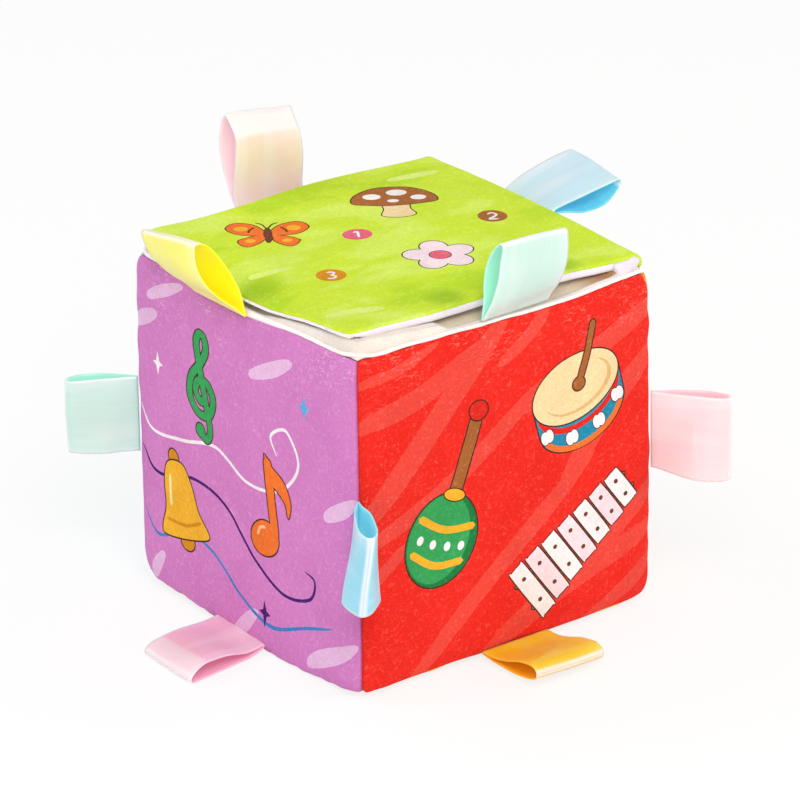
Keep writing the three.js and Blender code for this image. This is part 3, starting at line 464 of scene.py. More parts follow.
# Prints are cut into the cloth: outlines in face millimetres, painted one over another, so
# their edges stay sharp and the pile runs on through them
inks = {
    "line": "#45291F", "leaf": "#35A257", "leafDark": "#1B7C3D", "orange": "#F5742A", "sun": "#F7B52C",
    "sunDark": "#DB8E16", "brown": "#A8632F", "bark": "#6F3B26", "skin": "#F5D9A4", "tan": "#E3B878",
    "teal": "#1F8BAB", "tomato": "#E2261C", "snow": "#FBF4F4", "plum": "#41186B", "sky": "#4DB6E8",
    "sea": "#3F83C8", "blush": "#EABDE3", "flame": "#EE473B", "petal": "#FBE3EA", "rose": "#E9647C",
    "cloud": "#E9F5FC", "peach": "#FFC182", "butter": "#FFEEA0", "lime": "#E0F27C"}
inkVelours = {}


def inkVelour(name):
    if name not in inkVelours:
        inkVelours[name] = printVelour(f"printed velour {name}", inks[name])
    return inkVelours[name]


def oval(x, y, wide, tall, turn=0.0, count=44):
    t = np.linspace(0, 2 * math.pi, count, endpoint=False)
    ring = np.stack([wide * np.cos(t), tall * np.sin(t)], 1)
    return shifted(ring, x, y, turn)


# Turned, resized, then moved to its place
def shifted(outline, x, y, turn=0.0, size=1.0):
    c, s = math.cos(math.radians(turn)), math.sin(math.radians(turn))
    return np.asarray(outline, float) @ (np.array([[c, s], [-s, c]]) * size) + (x, y)


# Every outline runs anticlockwise
def outwardWay(outline):
    x, y = outline[:, 0], outline[:, 1]
    area = (x * np.roll(y, -1) - y * np.roll(x, -1)).sum()
    return outline if area > 0 else outline[::-1]


def curved(points, count=64):
    return outwardWay(throughPoints(points, count, closed=True)[0])


def straight(points):
    return outwardWay(np.asarray(points, float))


# A brushed line of a given half width; its ends are round, or drawn out to a point
brush = {"step": 0.9, "fewest": 12, "tip": 0.004}


def stroke(points, half, pointed=0.0, count=0):
    length = np.linalg.norm(np.diff(np.asarray(points, float), axis=0), axis=1).sum()
    path, length = throughPoints(points, count or max(brush["fewest"], round(length / brush["step"])))
    along = np.linspace(0, length, len(path))
    tip = np.minimum(along, length - along)
    reach = max(half, pointed * length)
    width = half * np.sqrt(1 - (1 - np.clip(tip / reach, brush["tip"], 1)) ** 2)
    way = np.gradient(path, axis=0)
    way /= np.linalg.norm(way, axis=1, keepdims=True)
    side = np.stack([way[:, 1], -way[:, 0]], 1) * width[:, None]
    return np.concatenate([path + side, (path - side)[::-1]])


# An outline moved outwards, for the dark line round a shape
def grown(outline, by):
    way = np.roll(outline, -1, 0) - np.roll(outline, 1, 0)
    way /= np.maximum(np.linalg.norm(way, axis=1, keepdims=True), 1e-6)
    return outline + np.stack([way[:, 1], -way[:, 0]], 1) * by


# Forms of one ink over a dark line
def edged(ink, *outlines, line=0.5):
    return [(grown(o, line), "line") for o in outlines] + [(o, ink) for o in outlines]


def placed(shapes, x, y, turn=0.0, size=1.0):
    return [(shifted(o, x, y, turn, size), ink) for o, ink in shapes]


# A four-pointed star
def sparkle(x, y, reach, ink):
    t = np.arange(8) * math.pi / 4
    r = np.where(np.arange(8) % 2, 0.3, np.where(np.arange(8) % 4, 0.68, 1)) * reach
    return [(np.stack([x + r * np.sin(t), y + r * np.cos(t)], 1)[::-1], ink)]


# Brushed marks; each has its middle, length, width and turn
def swipes(ink, *marks):
    form = np.array([(-1, -0.3), (-0.95, -0.75), (-0.5, -0.72), (0.2, -0.42), (0.75, 0.08), (1, 0.5),
                     (0.86, 0.84), (0.4, 0.76), (-0.2, 0.46), (-0.7, 0.1)])
    return [(shifted(curved(form * (long, wide), 40), x, y, turn), ink)
            for x, y, long, wide, turn in marks]


# Which points lie inside an outline, by the number of times that it winds round them
def around(outline, points):
    a, b = outline, np.roll(outline, -1, 0)
    x, y = points[:, :1], points[:, 1:]
    left = (b[:, 0] - a[:, 0]) * (y - a[:, 1]) - (x - a[:, 0]) * (b[:, 1] - a[:, 1])
    rising = (a[:, 1] <= y) & (b[:, 1] > y) & (left > 0)
    falling = (a[:, 1] > y) & (b[:, 1] <= y) & (left < 0)
    return rising.sum(1) != falling.sum(1)


# Outlines stay this far inside the rim and have steps of this length, and grid points keep clear
printNet = {"rim": 0.15, "step": 0.8, "clear": 0.32}


# Kept inside the rim, with a point at each step
def fineOutline(outline, low, high):
    outline = np.clip(outline, low, high)
    after = np.roll(outline, -1, 0)
    parts = []
    for a, b in zip(outline, after):
        n = max(1, math.ceil(np.linalg.norm(b - a) / printNet["step"]))
        parts.append(a + (b - a) * np.arange(n)[:, None] / n)
    return np.concatenate(parts)


# The grid's surface at flat places between its points
def onGrid(grid, across, along, points):
    i = np.interp(points[:, 1], along, np.arange(len(along)))
    j = np.interp(points[:, 0], across, np.arange(len(across)))
    r = np.minimum(i.astype(int), len(along) - 2)
    c = np.minimum(j.astype(int), len(across) - 2)
    di, dj = (i - r)[:, None], (j - c)[:, None]
    low = grid[r, c] * (1 - dj) + grid[r, c + 1] * dj
    high = grid[r + 1, c] * (1 - dj) + grid[r + 1, c + 1] * dj
    return low * (1 - di) + high * di


# A cloth with prints: the grid's points and all outlines are joined into one net of triangles,
# and each triangle takes the ink of the last outline round it
def printedCloth(name, outer, inner, across, along, finish, back, shapes):
    low = np.array([across[0], along[0]]) + printNet["rim"]
    high = np.array([across[-1], along[-1]]) - printNet["rim"]
    outlines = [(fineOutline(o, low, high), ink) for o, ink in shapes]
    marks = np.concatenate([o for o, ink in outlines])
    tree = KDTree(len(marks))
    for i, (x, y) in enumerate(marks):
        tree.insert((x, y, 0), i)
    tree.balance()
    xx, yy = np.meshgrid(across, along)
    spots = np.stack([xx, yy], -1).reshape(-1, 2)
    inside = ((spots > low) & (spots < high)).all(1)
    clear = [not free or tree.find((x, y, 0))[2] > printNet["clear"] for free, (x, y) in zip(inside, spots)]
    flat = np.concatenate([spots[clear], marks])
    links, start = [], len(flat) - len(marks)
    for outline, ink in outlines:
        n = len(outline)
        links += [(start + k, start + (k + 1) % n) for k in range(n)]
        start += n
    net = delaunay_2d_cdt([Vector(spot) for spot in flat.tolist()], links, [], 0, 1e-5)
    flat = np.array([tuple(v) for v in net[0]])
    faces = np.array(net[2])
    centre = flat[faces].mean(1)
    names = [None, *dict.fromkeys(ink for o, ink in outlines)]
    slots = np.zeros(len(faces), int)
    for outline, ink in outlines:
        near = ((centre > outline.min(0)) & (centre < outline.max(0))).all(1).nonzero()[0]
        slots[near[around(outline, centre[near])]] = names.index(ink)
    count = len(flat)
    pairs = np.concatenate([faces[:, [0, 1]], faces[:, [1, 2]], faces[:, [2, 0]]])
    key = pairs[:, 0] * count + pairs[:, 1]
    rim = pairs[~np.isin(key, pairs[:, 1] * count + pairs[:, 0])]
    wall = np.stack([rim[:, 1], rim[:, 0], rim[:, 0] + count, rim[:, 1] + count], 1)
    points = np.concatenate([onGrid(outer, across, along, flat), onGrid(inner, across, along, flat)])
    materials = [finish, *(inkVelour(n) for n in names[1:]), back]
    hidden = np.full(len(faces) + len(wall), len(materials) - 1)
    allFaces = faces.tolist() + (faces[:, ::-1] + count).tolist() + wall.tolist()
    return meshPiece(name, points, allFaces, materials, np.concatenate([slots, hidden]))


# Purple face: music lines with a clef, a note and a bell
def clefShape():
    line = [(2.2, -2), (-1.2, -4.2), (-3.6, -1.2), (-1.6, 2.6), (3, 2.4), (5.4, -2.6), (2.6, -8),
            (-3.4, -8.4), (-7, -3.4), (-5.2, 3.4), (0.2, 8.6), (3.6, 13.6), (3.4, 18.4), (1.2, 19.6),
            (-0.8, 15.8), (0, 6), (1.6, -6), (2.4, -13.4), (0.2, -16.6), (-3, -15)]
    return edged("leaf", stroke(line, 1.35, count=150), oval(-3, -14.2, 2.3, 2.3))


def noteShape():
    flag = curved([(1, 17), (3.4, 14), (9, 9.5), (11, 3.5), (9, -1.5), (8.4, 3), (5, 6.5), (2.4, 8.5)])
    stem = stroke([(1.6, -9), (1.9, 4), (2.2, 16)], 1.7)
    gleam = stroke([(-7.2, -9.6), (-5.4, -7), (-2.6, -6.4)], 0.5)
    return edged("orange", flag, stem, oval(-3.6, -10, 6.8, 5.4, 22)) + [(gleam, "peach")]


def bellShape():
    dome = [(0, 13), (4.6, 11.6), (7.2, 6), (8.4, -2), (11.6, -8.2), (10.4, -10.4), (0, -11.2),
            (-10.4, -10.4), (-11.6, -8.2), (-8.4, -2), (-7.2, 6), (-4.6, 11.6)]
    bell = edged("sunDark", oval(0, -12, 3.2, 2.8), oval(0, 14, 2.5, 2.5)) + edged("sun", curved(dome, 90))
    return bell + [(stroke([(-9, -5.4), (0, -7), (9, -5.4)], 0.55), "sunDark"),
                   (stroke([(-3.6, 8.6), (-5, 3), (-5.6, -1.6)], 0.6), "butter")]


def purplePrint():
    back = swipes("blush", (-50, 35, 9, 5, 6), (16, 40, 12, 5, 14), (-38, 48, 10, 4, 16),
                  (49, 4, 9, 5, 14), (-46, -48, 7, 4, 30), (0, -50, 8, 4, 22), (44, -46, 13, 5, 12))
    white = [(-54, 5), (-46, -2), (-30, 0), (-12, 4), (4, -2), (20, 1), (29, 12), (24, 22), (16, 18),
             (19, 12)]
    plum = [(-54, -9), (-44, -16), (-24, -11), (-8, -14), (6, -27), (20, -34), (33, -31), (36, -24),
            (31, -22)]
    blue = [(-53, -30), (-44, -37), (-30, -31), (-16, -33), (-2, -43), (14, -47), (32, -41), (44, -37)]
    lines = [(stroke(line, 0.55, 0.12), ink)
             for line, ink in ((white, "snow"), (plum, "plum"), (blue, "sea"))]
    stars = sparkle(-42, 22, 4, "snow") + sparkle(33, 33, 4.2, "sky") + sparkle(10, -44, 4.4, "plum")
    return (back + lines + stars + placed(clefShape(), -19, 21, 6, 0.98)
            + placed(noteShape(), 14, -7, 8, 1.05) + placed(bellShape(), -32, -22, 14, 1.05))


# Red face: brushed stripes, each with its half width, a maraca, a tambourine and chime bars
stripes = (((-60, 33), (-34, 38), (-4, 52), 3.6), ((-60, -4), (-32, 24), (2, 60), 4.2),
           ((-60, -9), (-22, 7), (14, 31), 3.0), ((4, 22), (30, 34), (60, 47), 3.6),
           ((18, -8), (36, 12), (60, 34), 3.8), ((-42, -60), (-8, -29), (32, 2), 3.2),
           ((-16, -60), (14, -43), (60, -29), 4.0), ((24, -60), (42, -50), (60, -40), 3.0),
           ((28, -36), (42, -26), (60, -12), 3.0), ((-60, -26), (-48, -16), (-38, -8), 2.2),
           ((-60, 47), (-42, 49), (-26, 55), 1.8), ((-4, 40), (10, 50), (18, 60), 2.4))


def maracaShape():
    handle = edged("brown", stroke([(0, -2), (0, 14), (0, 27)], 2.2))
    knob = edged("tomato", oval(0, 28.5, 3.4, 3.1))
    bulb = edged("leafDark", oval(0, -13, 13, 15.2)) + [(oval(-1.2, -12.8, 11.4, 14.4), "leaf")]
    bands = [(stroke([(-11, -7), (0, -9.6), (11.2, -7)], 1.2), "sun"),
             (stroke([(-10.4, -18.4), (0, -21.2), (10.4, -18.4)], 1.2), "sun")]
    beads = [(oval(x, -14.4 - 0.5 * math.cos(x / 3), 1.2, 1.5), "snow") for x in (-8, -2.8, 2.8, 8)]
    return handle + knob + bulb + bands + beads + edged("sun", oval(0, 1.6, 4, 1.9), line=0.4)


def tambourineShape():
    half = np.linspace(0, math.pi, 24)
    rimTop = np.stack([17 * np.cos(half), 11 * np.sin(half)], 1)
    drum = edged("teal", straight(np.concatenate([rimTop, -rimTop - (0, 10)])))
    low = half[1:-1:3] + math.pi
    ridge = np.stack([16.2 * np.cos(low), 11 * np.sin(low)], 1)
    drum += [(stroke(ridge - (0, 9.2), 1.0), "orange"), (stroke(ridge - (0, 2.4), 1.0), "tomato")]
    for share in (0.16, 0.39, 0.61, 0.84):
        t = math.pi * (1 + share)
        x, y = 16.4 * math.cos(t), 11 * math.sin(t) - 5.6
        drum += edged("snow", oval(x - 0.9, y, 1.5, 2.3), oval(x + 0.9, y, 1.5, 2.3), line=0.3)
    skin = [(oval(0.8, -0.6, 13.4, 8.2), "tan"), (oval(0, 0.2, 12.8, 7.8), "skin")]
    return drum + edged("skin", oval(0, 0, 17, 11)) + skin


def chimeShape():
    rails = [stroke([(-25, 5.6 * side), (0, 4.4 * side), (25, 2.8 * side)], 1.1) for side in (1, -1)]
    chime = edged("brown", *rails, line=0.4)
    for i in range(7):
        x, tall, pin = -21 + 7 * i, 11 - 0.7 * i, 5.4 - 0.36 * i
        plate = curved([(x - 2.9, tall - 1), (x - 2, tall), (x + 2, tall), (x + 2.9, tall - 1),
                        (x + 2.9, 1 - tall), (x + 2, -tall), (x - 2, -tall), (x - 2.9, 1 - tall)], 60)
        chime += edged("snow" if i % 2 == 0 else "petal", plate, line=0.45)
        chime += [(oval(x, y, 0.8, 0.8, count=12), "bark") for y in (pin, -pin)]
    return chime


def redPrint():
    back = [(stroke(points, half, 0.34), "flame") for *points, half in stripes]
    mallet = edged("brown", stroke([(3, 2), (8, 12), (12, 22)], 1.1), oval(2.6, 1.4, 2.4, 2.2))
    return (back + placed(maracaShape(), -22, 1, -21) + placed(tambourineShape(), 25, 25, 14, 0.98)
            + placed(mallet, 24, 24, 8, 0.95) + placed(chimeShape(), 25, -26, 36))


# Cover: a butterfly, a mushroom, a flower and three discs with plain numbers
def butterflyShape():
    wings, marks = [], []
    for side in (-1, 1):
        upper = np.array([(0.4, 0.6), (3.6, 7.6), (9.6, 10), (12.8, 6), (9.6, 1.2), (4, 0)])
        lower = np.array([(0.6, -0.4), (5.6, -1), (9.4, -4.4), (7, -8.8), (2.8, -6)])
        wings += [curved(upper * (side, 1)), curved(lower * (side, 1))]
        vein = stroke([(4 * side, 6.4), (5.6 * side, 4), (6 * side, 2)], 0.35)
        marks += [(oval(8.2 * side, 5.4, 2.2, 1.9), "sun"), (oval(5.6 * side, -4.2, 1.6, 1.4), "sun"),
                  (vein, "line")]
    body = edged("bark", oval(0, 0, 1.2, 6), line=0.2)
    feelers = [(stroke([(0.3 * side, 5.6), (1.6 * side, 8.6), (3.6 * side, 10)], 0.3), "line")
               for side in (-1, 1)]
    return edged("orange", *wings, line=0.4) + marks + feelers + body


def mushroomShape():
    cap = curved([(-13, -0.6), (-12, 5), (-6.4, 10.4), (0, 11.6), (6.4, 10.4), (12, 5), (13, -0.6),
                  (8, -2.2), (0, -3), (-8, -2.2)], 80)
    stem = curved([(-3.6, 0), (-4, -6), (-5, -11), (0, -12.6), (5, -11), (4, -6), (3.6, 0)])
    dots = ((-6.6, 4.2, 2.8, 2.2), (1.4, 7, 3.2, 2.4), (7.6, 2.4, 2.4, 1.9), (-0.4, 0.6, 1.8, 1.2))
    return (edged("skin", stem, line=0.4) + edged("brown", cap, line=0.4)
            + [(oval(*dot), "snow") for dot in dots])


def flowerShape():
    petals = []
    for turn in np.arange(5) * 72 + 18:
        t = math.radians(turn)
        petals.append(oval(6.4 * math.cos(t), 6.4 * math.sin(t), 4.9, 4.2, turn))
    return edged("petal", *petals, line=0.4) + edged("rose", oval(0, 0, 3.2, 3.2), line=0.3)


def greenPrint():
    one = [(-1.1, 1.5), (0.2, 2.4), (0.3, 0), (0.3, -2.5)]
    two = [(-1.5, 1.2), (-0.2, 2.4), (1.4, 1.2), (0.2, -0.8), (-1.5, -2.2), (0, -2.3), (1.7, -2.2)]
    three = [(-1.3, 2), (0.4, 2.4), (1.2, 1.2), (0, 0.2), (1.4, -1), (0.3, -2.4), (-1.5, -1.9)]
    discs = []
    for number, ink, x, y in ((one, "rose", -5, 10), (two, "brown", 36, -4), (three, "sunDark", -30, -10)):
        discs += placed([(oval(0, 0, 4.6, 4.4), ink), (stroke(number, 0.42), "snow")], x, y, -30)
    back = swipes("lime", (38, 38, 9, 4, -20), (-42, -38, 9, 4, -30), (-42, 4, 7, 3, -30))
    return (back + placed(butterflyShape(), -26, 27, -34, 0.98) + placed(mushroomShape(), 20, 24, -30)
            + placed(flowerShape(), 5, -18, -20) + discs)


# Hidden faces: clouds and a sun on blue, a star, a hoop and a wedge on orange, spots on yellow
def cloudShape():
    return edged("cloud", oval(-8, 0, 7, 6), oval(0, 4, 9, 8), oval(9, 0, 7.4, 6), oval(0, -2, 12, 4.6))


def bluePrint():
    rays = [stroke([(13 * math.cos(t), 13 * math.sin(t)), (18 * math.cos(t), 18 * math.sin(t))], 1.2)
            for t in np.arange(10) * math.pi / 5]
    sun = edged("sun", *rays) + edged("sun", oval(0, 0, 10.5, 10.5)) + [(oval(-2, 2, 6, 6), "butter")]
    cloud = cloudShape()
    return placed(sun, 22, 24) + placed(cloud, -24, 12, 0, 1.15) + placed(cloud, 14, -22, 0, 1.3)


def orangePrint():
    t = np.arange(10) * math.pi / 5
    reach = np.where(np.arange(10) % 2, 6.6, 14)
    star = edged("sun", straight(np.stack([reach * np.sin(t), reach * np.cos(t)], 1)))
    wedge = curved([(-13, -9), (-11, -10.6), (11, -10.6), (13, -9), (1.4, 11), (-1.4, 11)], 70)
    hoop = edged("snow", oval(0, 0, 12, 12)) + edged("tomato", oval(0, 0, 5.6, 5.6))
    back = swipes("peach", (-40, 38, 12, 6, 14), (38, -44, 12, 6, 10), (-44, -30, 9, 5, 30))
    return (back + placed(star, -22, 18, 10, 1.15) + placed(edged("teal", wedge), 24, 14, -8)
            + placed(hoop, -4, -26))


def yellowPrint():
    spots = ((-30, 28), (8, 36), (34, 12), (-8, 2), (-36, -14), (20, -24), (-16, -38), (42, -42))
    return [(oval(x, y, 5, 5), "butter") for x, y in spots]


# Panels of the block: each face of a rounded block, with a rolled seam, puckers and soft dents
block = {"half": (57.16, 57.16, 56.12), "middle": 56.52, "squareness": 18, "crown": 0.9,
         "seamHalf": 55, "cell": 0.95, "thick": 1.2, "creaseDepth": 0.95, "creaseWidth": 0.55,
         "creasePower": 1.6, "roll": 0.35, "rollAt": 2.3, "rollWidth": 1.7, "pucker": 0.26,
         "puckerReach": 6.5, "puckerStart": 1.1, "waveShift": 40, "dent": 0.3, "lump": 0.05,
         "calmSeam": 5,
         "seamRows": (0, 0.14, 0.28, 0.42, 0.58, 0.78, 1.02, 1.35, 1.8, 2.4, 3.2, 4.1, 5.0)}
faceWays = {
    "front": ((0, -1, 0), (1, 0, 0), (0, 0, 1)), "back": ((0, 1, 0), (-1, 0, 0), (0, 0, 1)),
    "left": ((-1, 0, 0), (0, -1, 0), (0, 0, 1)), "right": ((1, 0, 0), (0, 1, 0), (0, 0, 1)),
    "top": ((0, 0, 1), (1, 0, 0), (0, 1, 0)), "bottom": ((0, 0, -1), (1, 0, 0), (0, -1, 0)),
}


# Rows lie closer together towards a seam, where the cloth curves most
def seamSteps(extra=()):
    near = np.array(block["seamRows"])
    half = block["seamHalf"]
    count = round((half - near[-1]) / block["cell"])
    steps = np.concatenate([near, np.linspace(near[-1], half, count + 1)[1:]])
    side = 1 - steps / half
    values = np.concatenate([-side, side[::-1][1:], np.asarray(extra, float)])
    return np.unique(np.round(values, 6))


# The top seams hang a little in their middles, under the loops: each sag has its place, the way
# of its seam, its reach and its depth. The front left corner is raised, and the left bottom seam
# is full.
sags = (((-55, 4), (0, 1), 24, 2.3), ((20, -55), (1, 0), 24, 1.6), ((-10, -55), (1, 0), 22, 0.5))
sagFade = {"across": (16, 1), "height": (84, 108)}
raisedCorner = {"place": (-56, -56), "reach": 7.5, "height": 0.9}
fullSeam = {"x": -55, "z": 2.6, "middle": -13, "long": 36, "reach": 6.5, "push": 1.9}


def sagOf(points):
    x, y, z = points[..., 0], points[..., 1], points[..., 2]
    total = np.zeros(x.shape)
    for (cx, cy), (alongX, alongY), reach, depth in sags:
        along = ((x - cx) * alongX + (y - cy) * alongY) / reach
        away = np.abs((x - cx) * alongY + (y - cy) * alongX)
        total += depth * np.exp(-along ** 2) * smoothRamp(away, *sagFade["across"])
    cx, cy = raisedCorner["place"]
    away = np.hypot(x - cx, y - cy) / raisedCorner["reach"]
    total -= raisedCorner["height"] * np.exp(-away ** 2)
    return total * smoothRamp(z, *sagFade["height"])


# The bottom seam lies just under the edge, so the side panels run round to it, and the red panel
# runs a little way round its right edge. These are shares of half a face.
wrapped = {"under": 0.965, "corner": 0.055, "cornerFrom": 0.88, "from": 0.8, "right": 0.025,
           "upright": 0.72}


# A face's points on the plain rounded block, and their normals
def blockForm(face, u, v):
    out, right, up = (np.array(a, float) for a in faceWays[face])
    n = block["squareness"]
    if face == "bottom":
        far = np.maximum(np.abs(u), np.abs(v))
        near = np.minimum(np.abs(u), np.abs(v)) / np.maximum(far, 1e-6)
        under = wrapped["under"] - wrapped["corner"] * smoothRamp(near, wrapped["cornerFrom"], 1) * far
        u, v = u * under, v * under
    elif face != "top":
        under = wrapped["under"] - wrapped["corner"] * smoothRamp(np.abs(u), wrapped["cornerFrom"], 1)
        v = v - (1 / under - 1) * smoothRamp(v, -wrapped["from"], -1)
    upright = smoothRamp(np.abs(v), 1, wrapped["upright"])
    if face == "front":
        u = u + (1 / (1 - wrapped["right"]) - 1) * smoothRamp(u, wrapped["from"], 1) * upright
    elif face == "right":
        u = u + wrapped["right"] * smoothRamp(u, -wrapped["from"], -1) * upright
    norm = (np.abs(u) ** n + np.abs(v) ** n + 1) ** (1 / n)
    ball = (out + u[..., None] * right + v[..., None] * up) / norm[..., None]
    half = np.array(block["half"])
    points = ball * half
    normal = np.sign(ball) * np.abs(ball) ** (n - 1) / half
    normal /= np.linalg.norm(normal, axis=-1, keepdims=True)
    if face != "top":
        points = points + out * (block["crown"] * (1 - u ** 2) * (1 - v ** 2))[..., None]
    points[..., 2] += block["middle"]
    return points, normal


# Height of the cloth above the plain form, along its normal
def blockRelief(points, u, v):
    half = block["seamHalf"]
    nearest = (1 - np.maximum(np.abs(u), np.abs(v))) * half
    relief = -block["creaseDepth"] * np.exp(-(nearest / block["creaseWidth"]) ** block["creasePower"])
    relief += block["roll"] * np.exp(-((nearest - block["rollAt"]) / block["rollWidth"]) ** 2)
    for across, side, seed in ((u, 1, 11), (u, -1, 12), (v, 1, 13), (v, -1, 14)):
        away = (1 - across * side) * half
        wave = waveSum(points + block["waveShift"] * side, (7.1, 9.3, 12.4, 5.9, 16), seed)
        reach = np.exp(-away / block["puckerReach"]) * (1 - np.exp(-away / block["puckerStart"]))
        relief += block["pucker"] * wave * reach
    inside = smoothRamp(nearest, 0, block["calmSeam"])
    relief += block["dent"] * waveSum(points, (34, 47, 61, 40, 75), 21) * inside
    relief += block["lump"] * waveSum(points, (9, 11, 14, 17, 8), 22) * inside
    return relief


# The face's outer layer, with its seams, sags and the full seam at the bottom left
def blockSurface(face, u, v):
    points, normal = blockForm(face, u, v)
    points = points + normal * blockRelief(points, u, v)[..., None]
    points[..., 2] -= sagOf(points)
    away = np.hypot(points[..., 0] - fullSeam["x"], points[..., 2] - fullSeam["z"]) / fullSeam["reach"]
    along = (points[..., 1] - fullSeam["middle"]) / fullSeam["long"]
    push = fullSeam["push"] * np.exp(-away ** 2 - along ** 2)
    points[..., 0] -= push
    points[..., 2] = np.maximum(points[..., 2] - push, 0)
    return points, normal


# The inner layer stays above the floor too, by a share of the cloth's thickness
def addPanel(face, finish, shapes):
    steps = seamSteps()
    outer, normal = blockSurface(face, *np.meshgrid(steps, steps))
    inner = outer - normal * block["thick"]
    inner[..., 2] = np.maximum(inner[..., 2], block["thick"] / 4)
    flat = steps * block["half"][0]
    cloth = velours[finish]
    piece = printedCloth(f"{face}_velour", outer, inner, flat, flat, cloth, cloth, shapes)
    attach(piece, "cube")
    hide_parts(f"{face}_panel")


for face, finish, shapes in (
        ("front", "red", redPrint()), ("left", "purple", purplePrint()), ("back", "blue", bluePrint()),
        ("right", "orange", orangePrint()), ("bottom", "yellow", yellowPrint())):
    addPanel(face, finish, shapes)
print("panels made")


# Deck: the top of the block under the cover. A cream edge puffs up towards the front left
# corner, the middle, painted tan as shade under the cover, lies a little lower, and a slit at the
# back leads to the sound box.
deck = {"thick": 0.6, "relief": 0.6, "sunk": 1.0, "sunkFrom": (1.6, 3.4), "spineEdge": (47, 42),
        "slitY": 36, "slitEnd": (30.5, 32.5), "slitWidth": 0.9, "slitDepth": 0.7, "lip": 0.35, "lipAt": 2.1,
        "lipWidth": 0.9, "slitRows": (0.3, 0.6, 0.9, 1.2, 1.6, 2, 2.4, 2.8)}

# The cream roll at the front left corner fades along the left edge and ends in a fold in front
roll = {"height": 4.2, "rise": (0.5, 1.7), "fall": (5.2, 10), "leftFrom": -9, "leftLong": 40,
        "leftPower": 0.8, "frontFrom": -50, "frontLong": 28, "frontFade": 0.55, "frontEnd": (-19, -24),
        "corner": 2.5}


def cornerRoll(x, y, nearest):
    half = block["seamHalf"]
    left = np.clip((roll["leftFrom"] - y) / roll["leftLong"], 0, 1) ** roll["leftPower"]
    front = 1 - roll["frontFade"] * np.clip((x - roll["frontFrom"]) / roll["frontLong"], 0, 1)
    front = front * smoothRamp(x, *roll["frontEnd"])
    byLeft = np.exp(-np.maximum(x + half, 0) / roll["corner"])
    byFront = np.exp(-np.maximum(y + half, 0) / roll["corner"])
    share = (left * byLeft + front * byFront) / np.maximum(byLeft + byFront, 1e-9)
    return share * smoothRamp(nearest, *roll["rise"]) * (1 - smoothRamp(nearest, *roll["fall"]))


# The deck's outer layer and its normals, lifted for what is sewn on it
def deckSurface(u, v, lift=0.0):
    points, normal = blockForm("top", u, v)
    half = block["seamHalf"]
    nearest = (1 - np.maximum(np.abs(u), np.abs(v))) * half
    height = blockRelief(points, u, v) * smoothRamp(nearest, 0, 1) * deck["relief"]
    x, y = points[..., 0], points[..., 1]
    height += roll["height"] * cornerRoll(x, y, nearest)
    height -= deck["sunk"] * smoothRamp(nearest, *deck["sunkFrom"]) * smoothRamp(x, *deck["spineEdge"])
    end = 1 - smoothRamp(np.abs(x), *deck["slitEnd"])
    off = np.abs(y - deck["slitY"])
    height -= end * deck["slitDepth"] * np.exp(-(off / deck["slitWidth"]) ** 4)
    height += end * deck["lip"] * np.exp(-((off - deck["lipAt"]) / deck["lipWidth"]) ** 2)
    points = points + normal * lift
    points[..., 2] += height - sagOf(points)
    return points, normal


def addDeck():
    near = np.array(deck["slitRows"])
    slit = deck["slitY"] + np.concatenate([-near[::-1], [0], near])
    outer, normal = deckSurface(*np.meshgrid(seamSteps(), seamSteps(slit / block["half"][1])))
    piece = clothFromGrid("deck_cloth", outer, outer - normal * deck["thick"], [tricots["deck"]])
    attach(piece, "cube")
    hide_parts("deck_panel")


addDeck()


# A round or oval tube along a path, with closed ends
def tube(path, radii, sides):
    ahead = np.gradient(path, axis=0)
    ahead /= np.linalg.norm(ahead, axis=1, keepdims=True)
    up = np.tile([0.0, 0, 1], (len(path), 1))
    side = np.cross(ahead, up)
    side /= np.maximum(np.linalg.norm(side, axis=1, keepdims=True), 1e-6)
    up = np.cross(side, ahead)
    angle = np.linspace(0, 2 * math.pi, sides, endpoint=False)
    wide, tall = (np.broadcast_to(r, len(path))[:, None, None] for r in radii)
    ring = path[:, None] + side[:, None] * np.cos(angle)[:, None] * wide
    ring = ring + up[:, None] * np.sin(angle)[:, None] * tall
    points = np.concatenate([ring.reshape(-1, 3), path[:1], path[-1:]])
    faces = gridFaces(len(path), sides, closed=True)[:, ::-1].tolist()
    first, last = len(points) - 2, len(points) - 1
    base = (len(path) - 1) * sides
    for i in range(sides):
        j = (i + 1) % sides
        faces.append([first, i, j])
        faces.append([last, base + j, base + i])
    return points, faces


# Piping in the top seam, on the front, left and back sides
piping = {"radius": 0.6, "level": 110.75, "reach": 55.15, "corner": 7, "step": 0.8, "end": 53.5,
          "swell": 0.55, "swellAt": 2, "swellReach": 20, "wave": 0.12, "uneven": 0.05, "turns": 12,
          "sides": 14}


def roundedCorner(centre, radius, start, end, count):
    angle = np.radians(np.linspace(start, end, count))
    return np.stack([centre[0] + radius * np.cos(angle), centre[1] + radius * np.sin(angle)], 1)


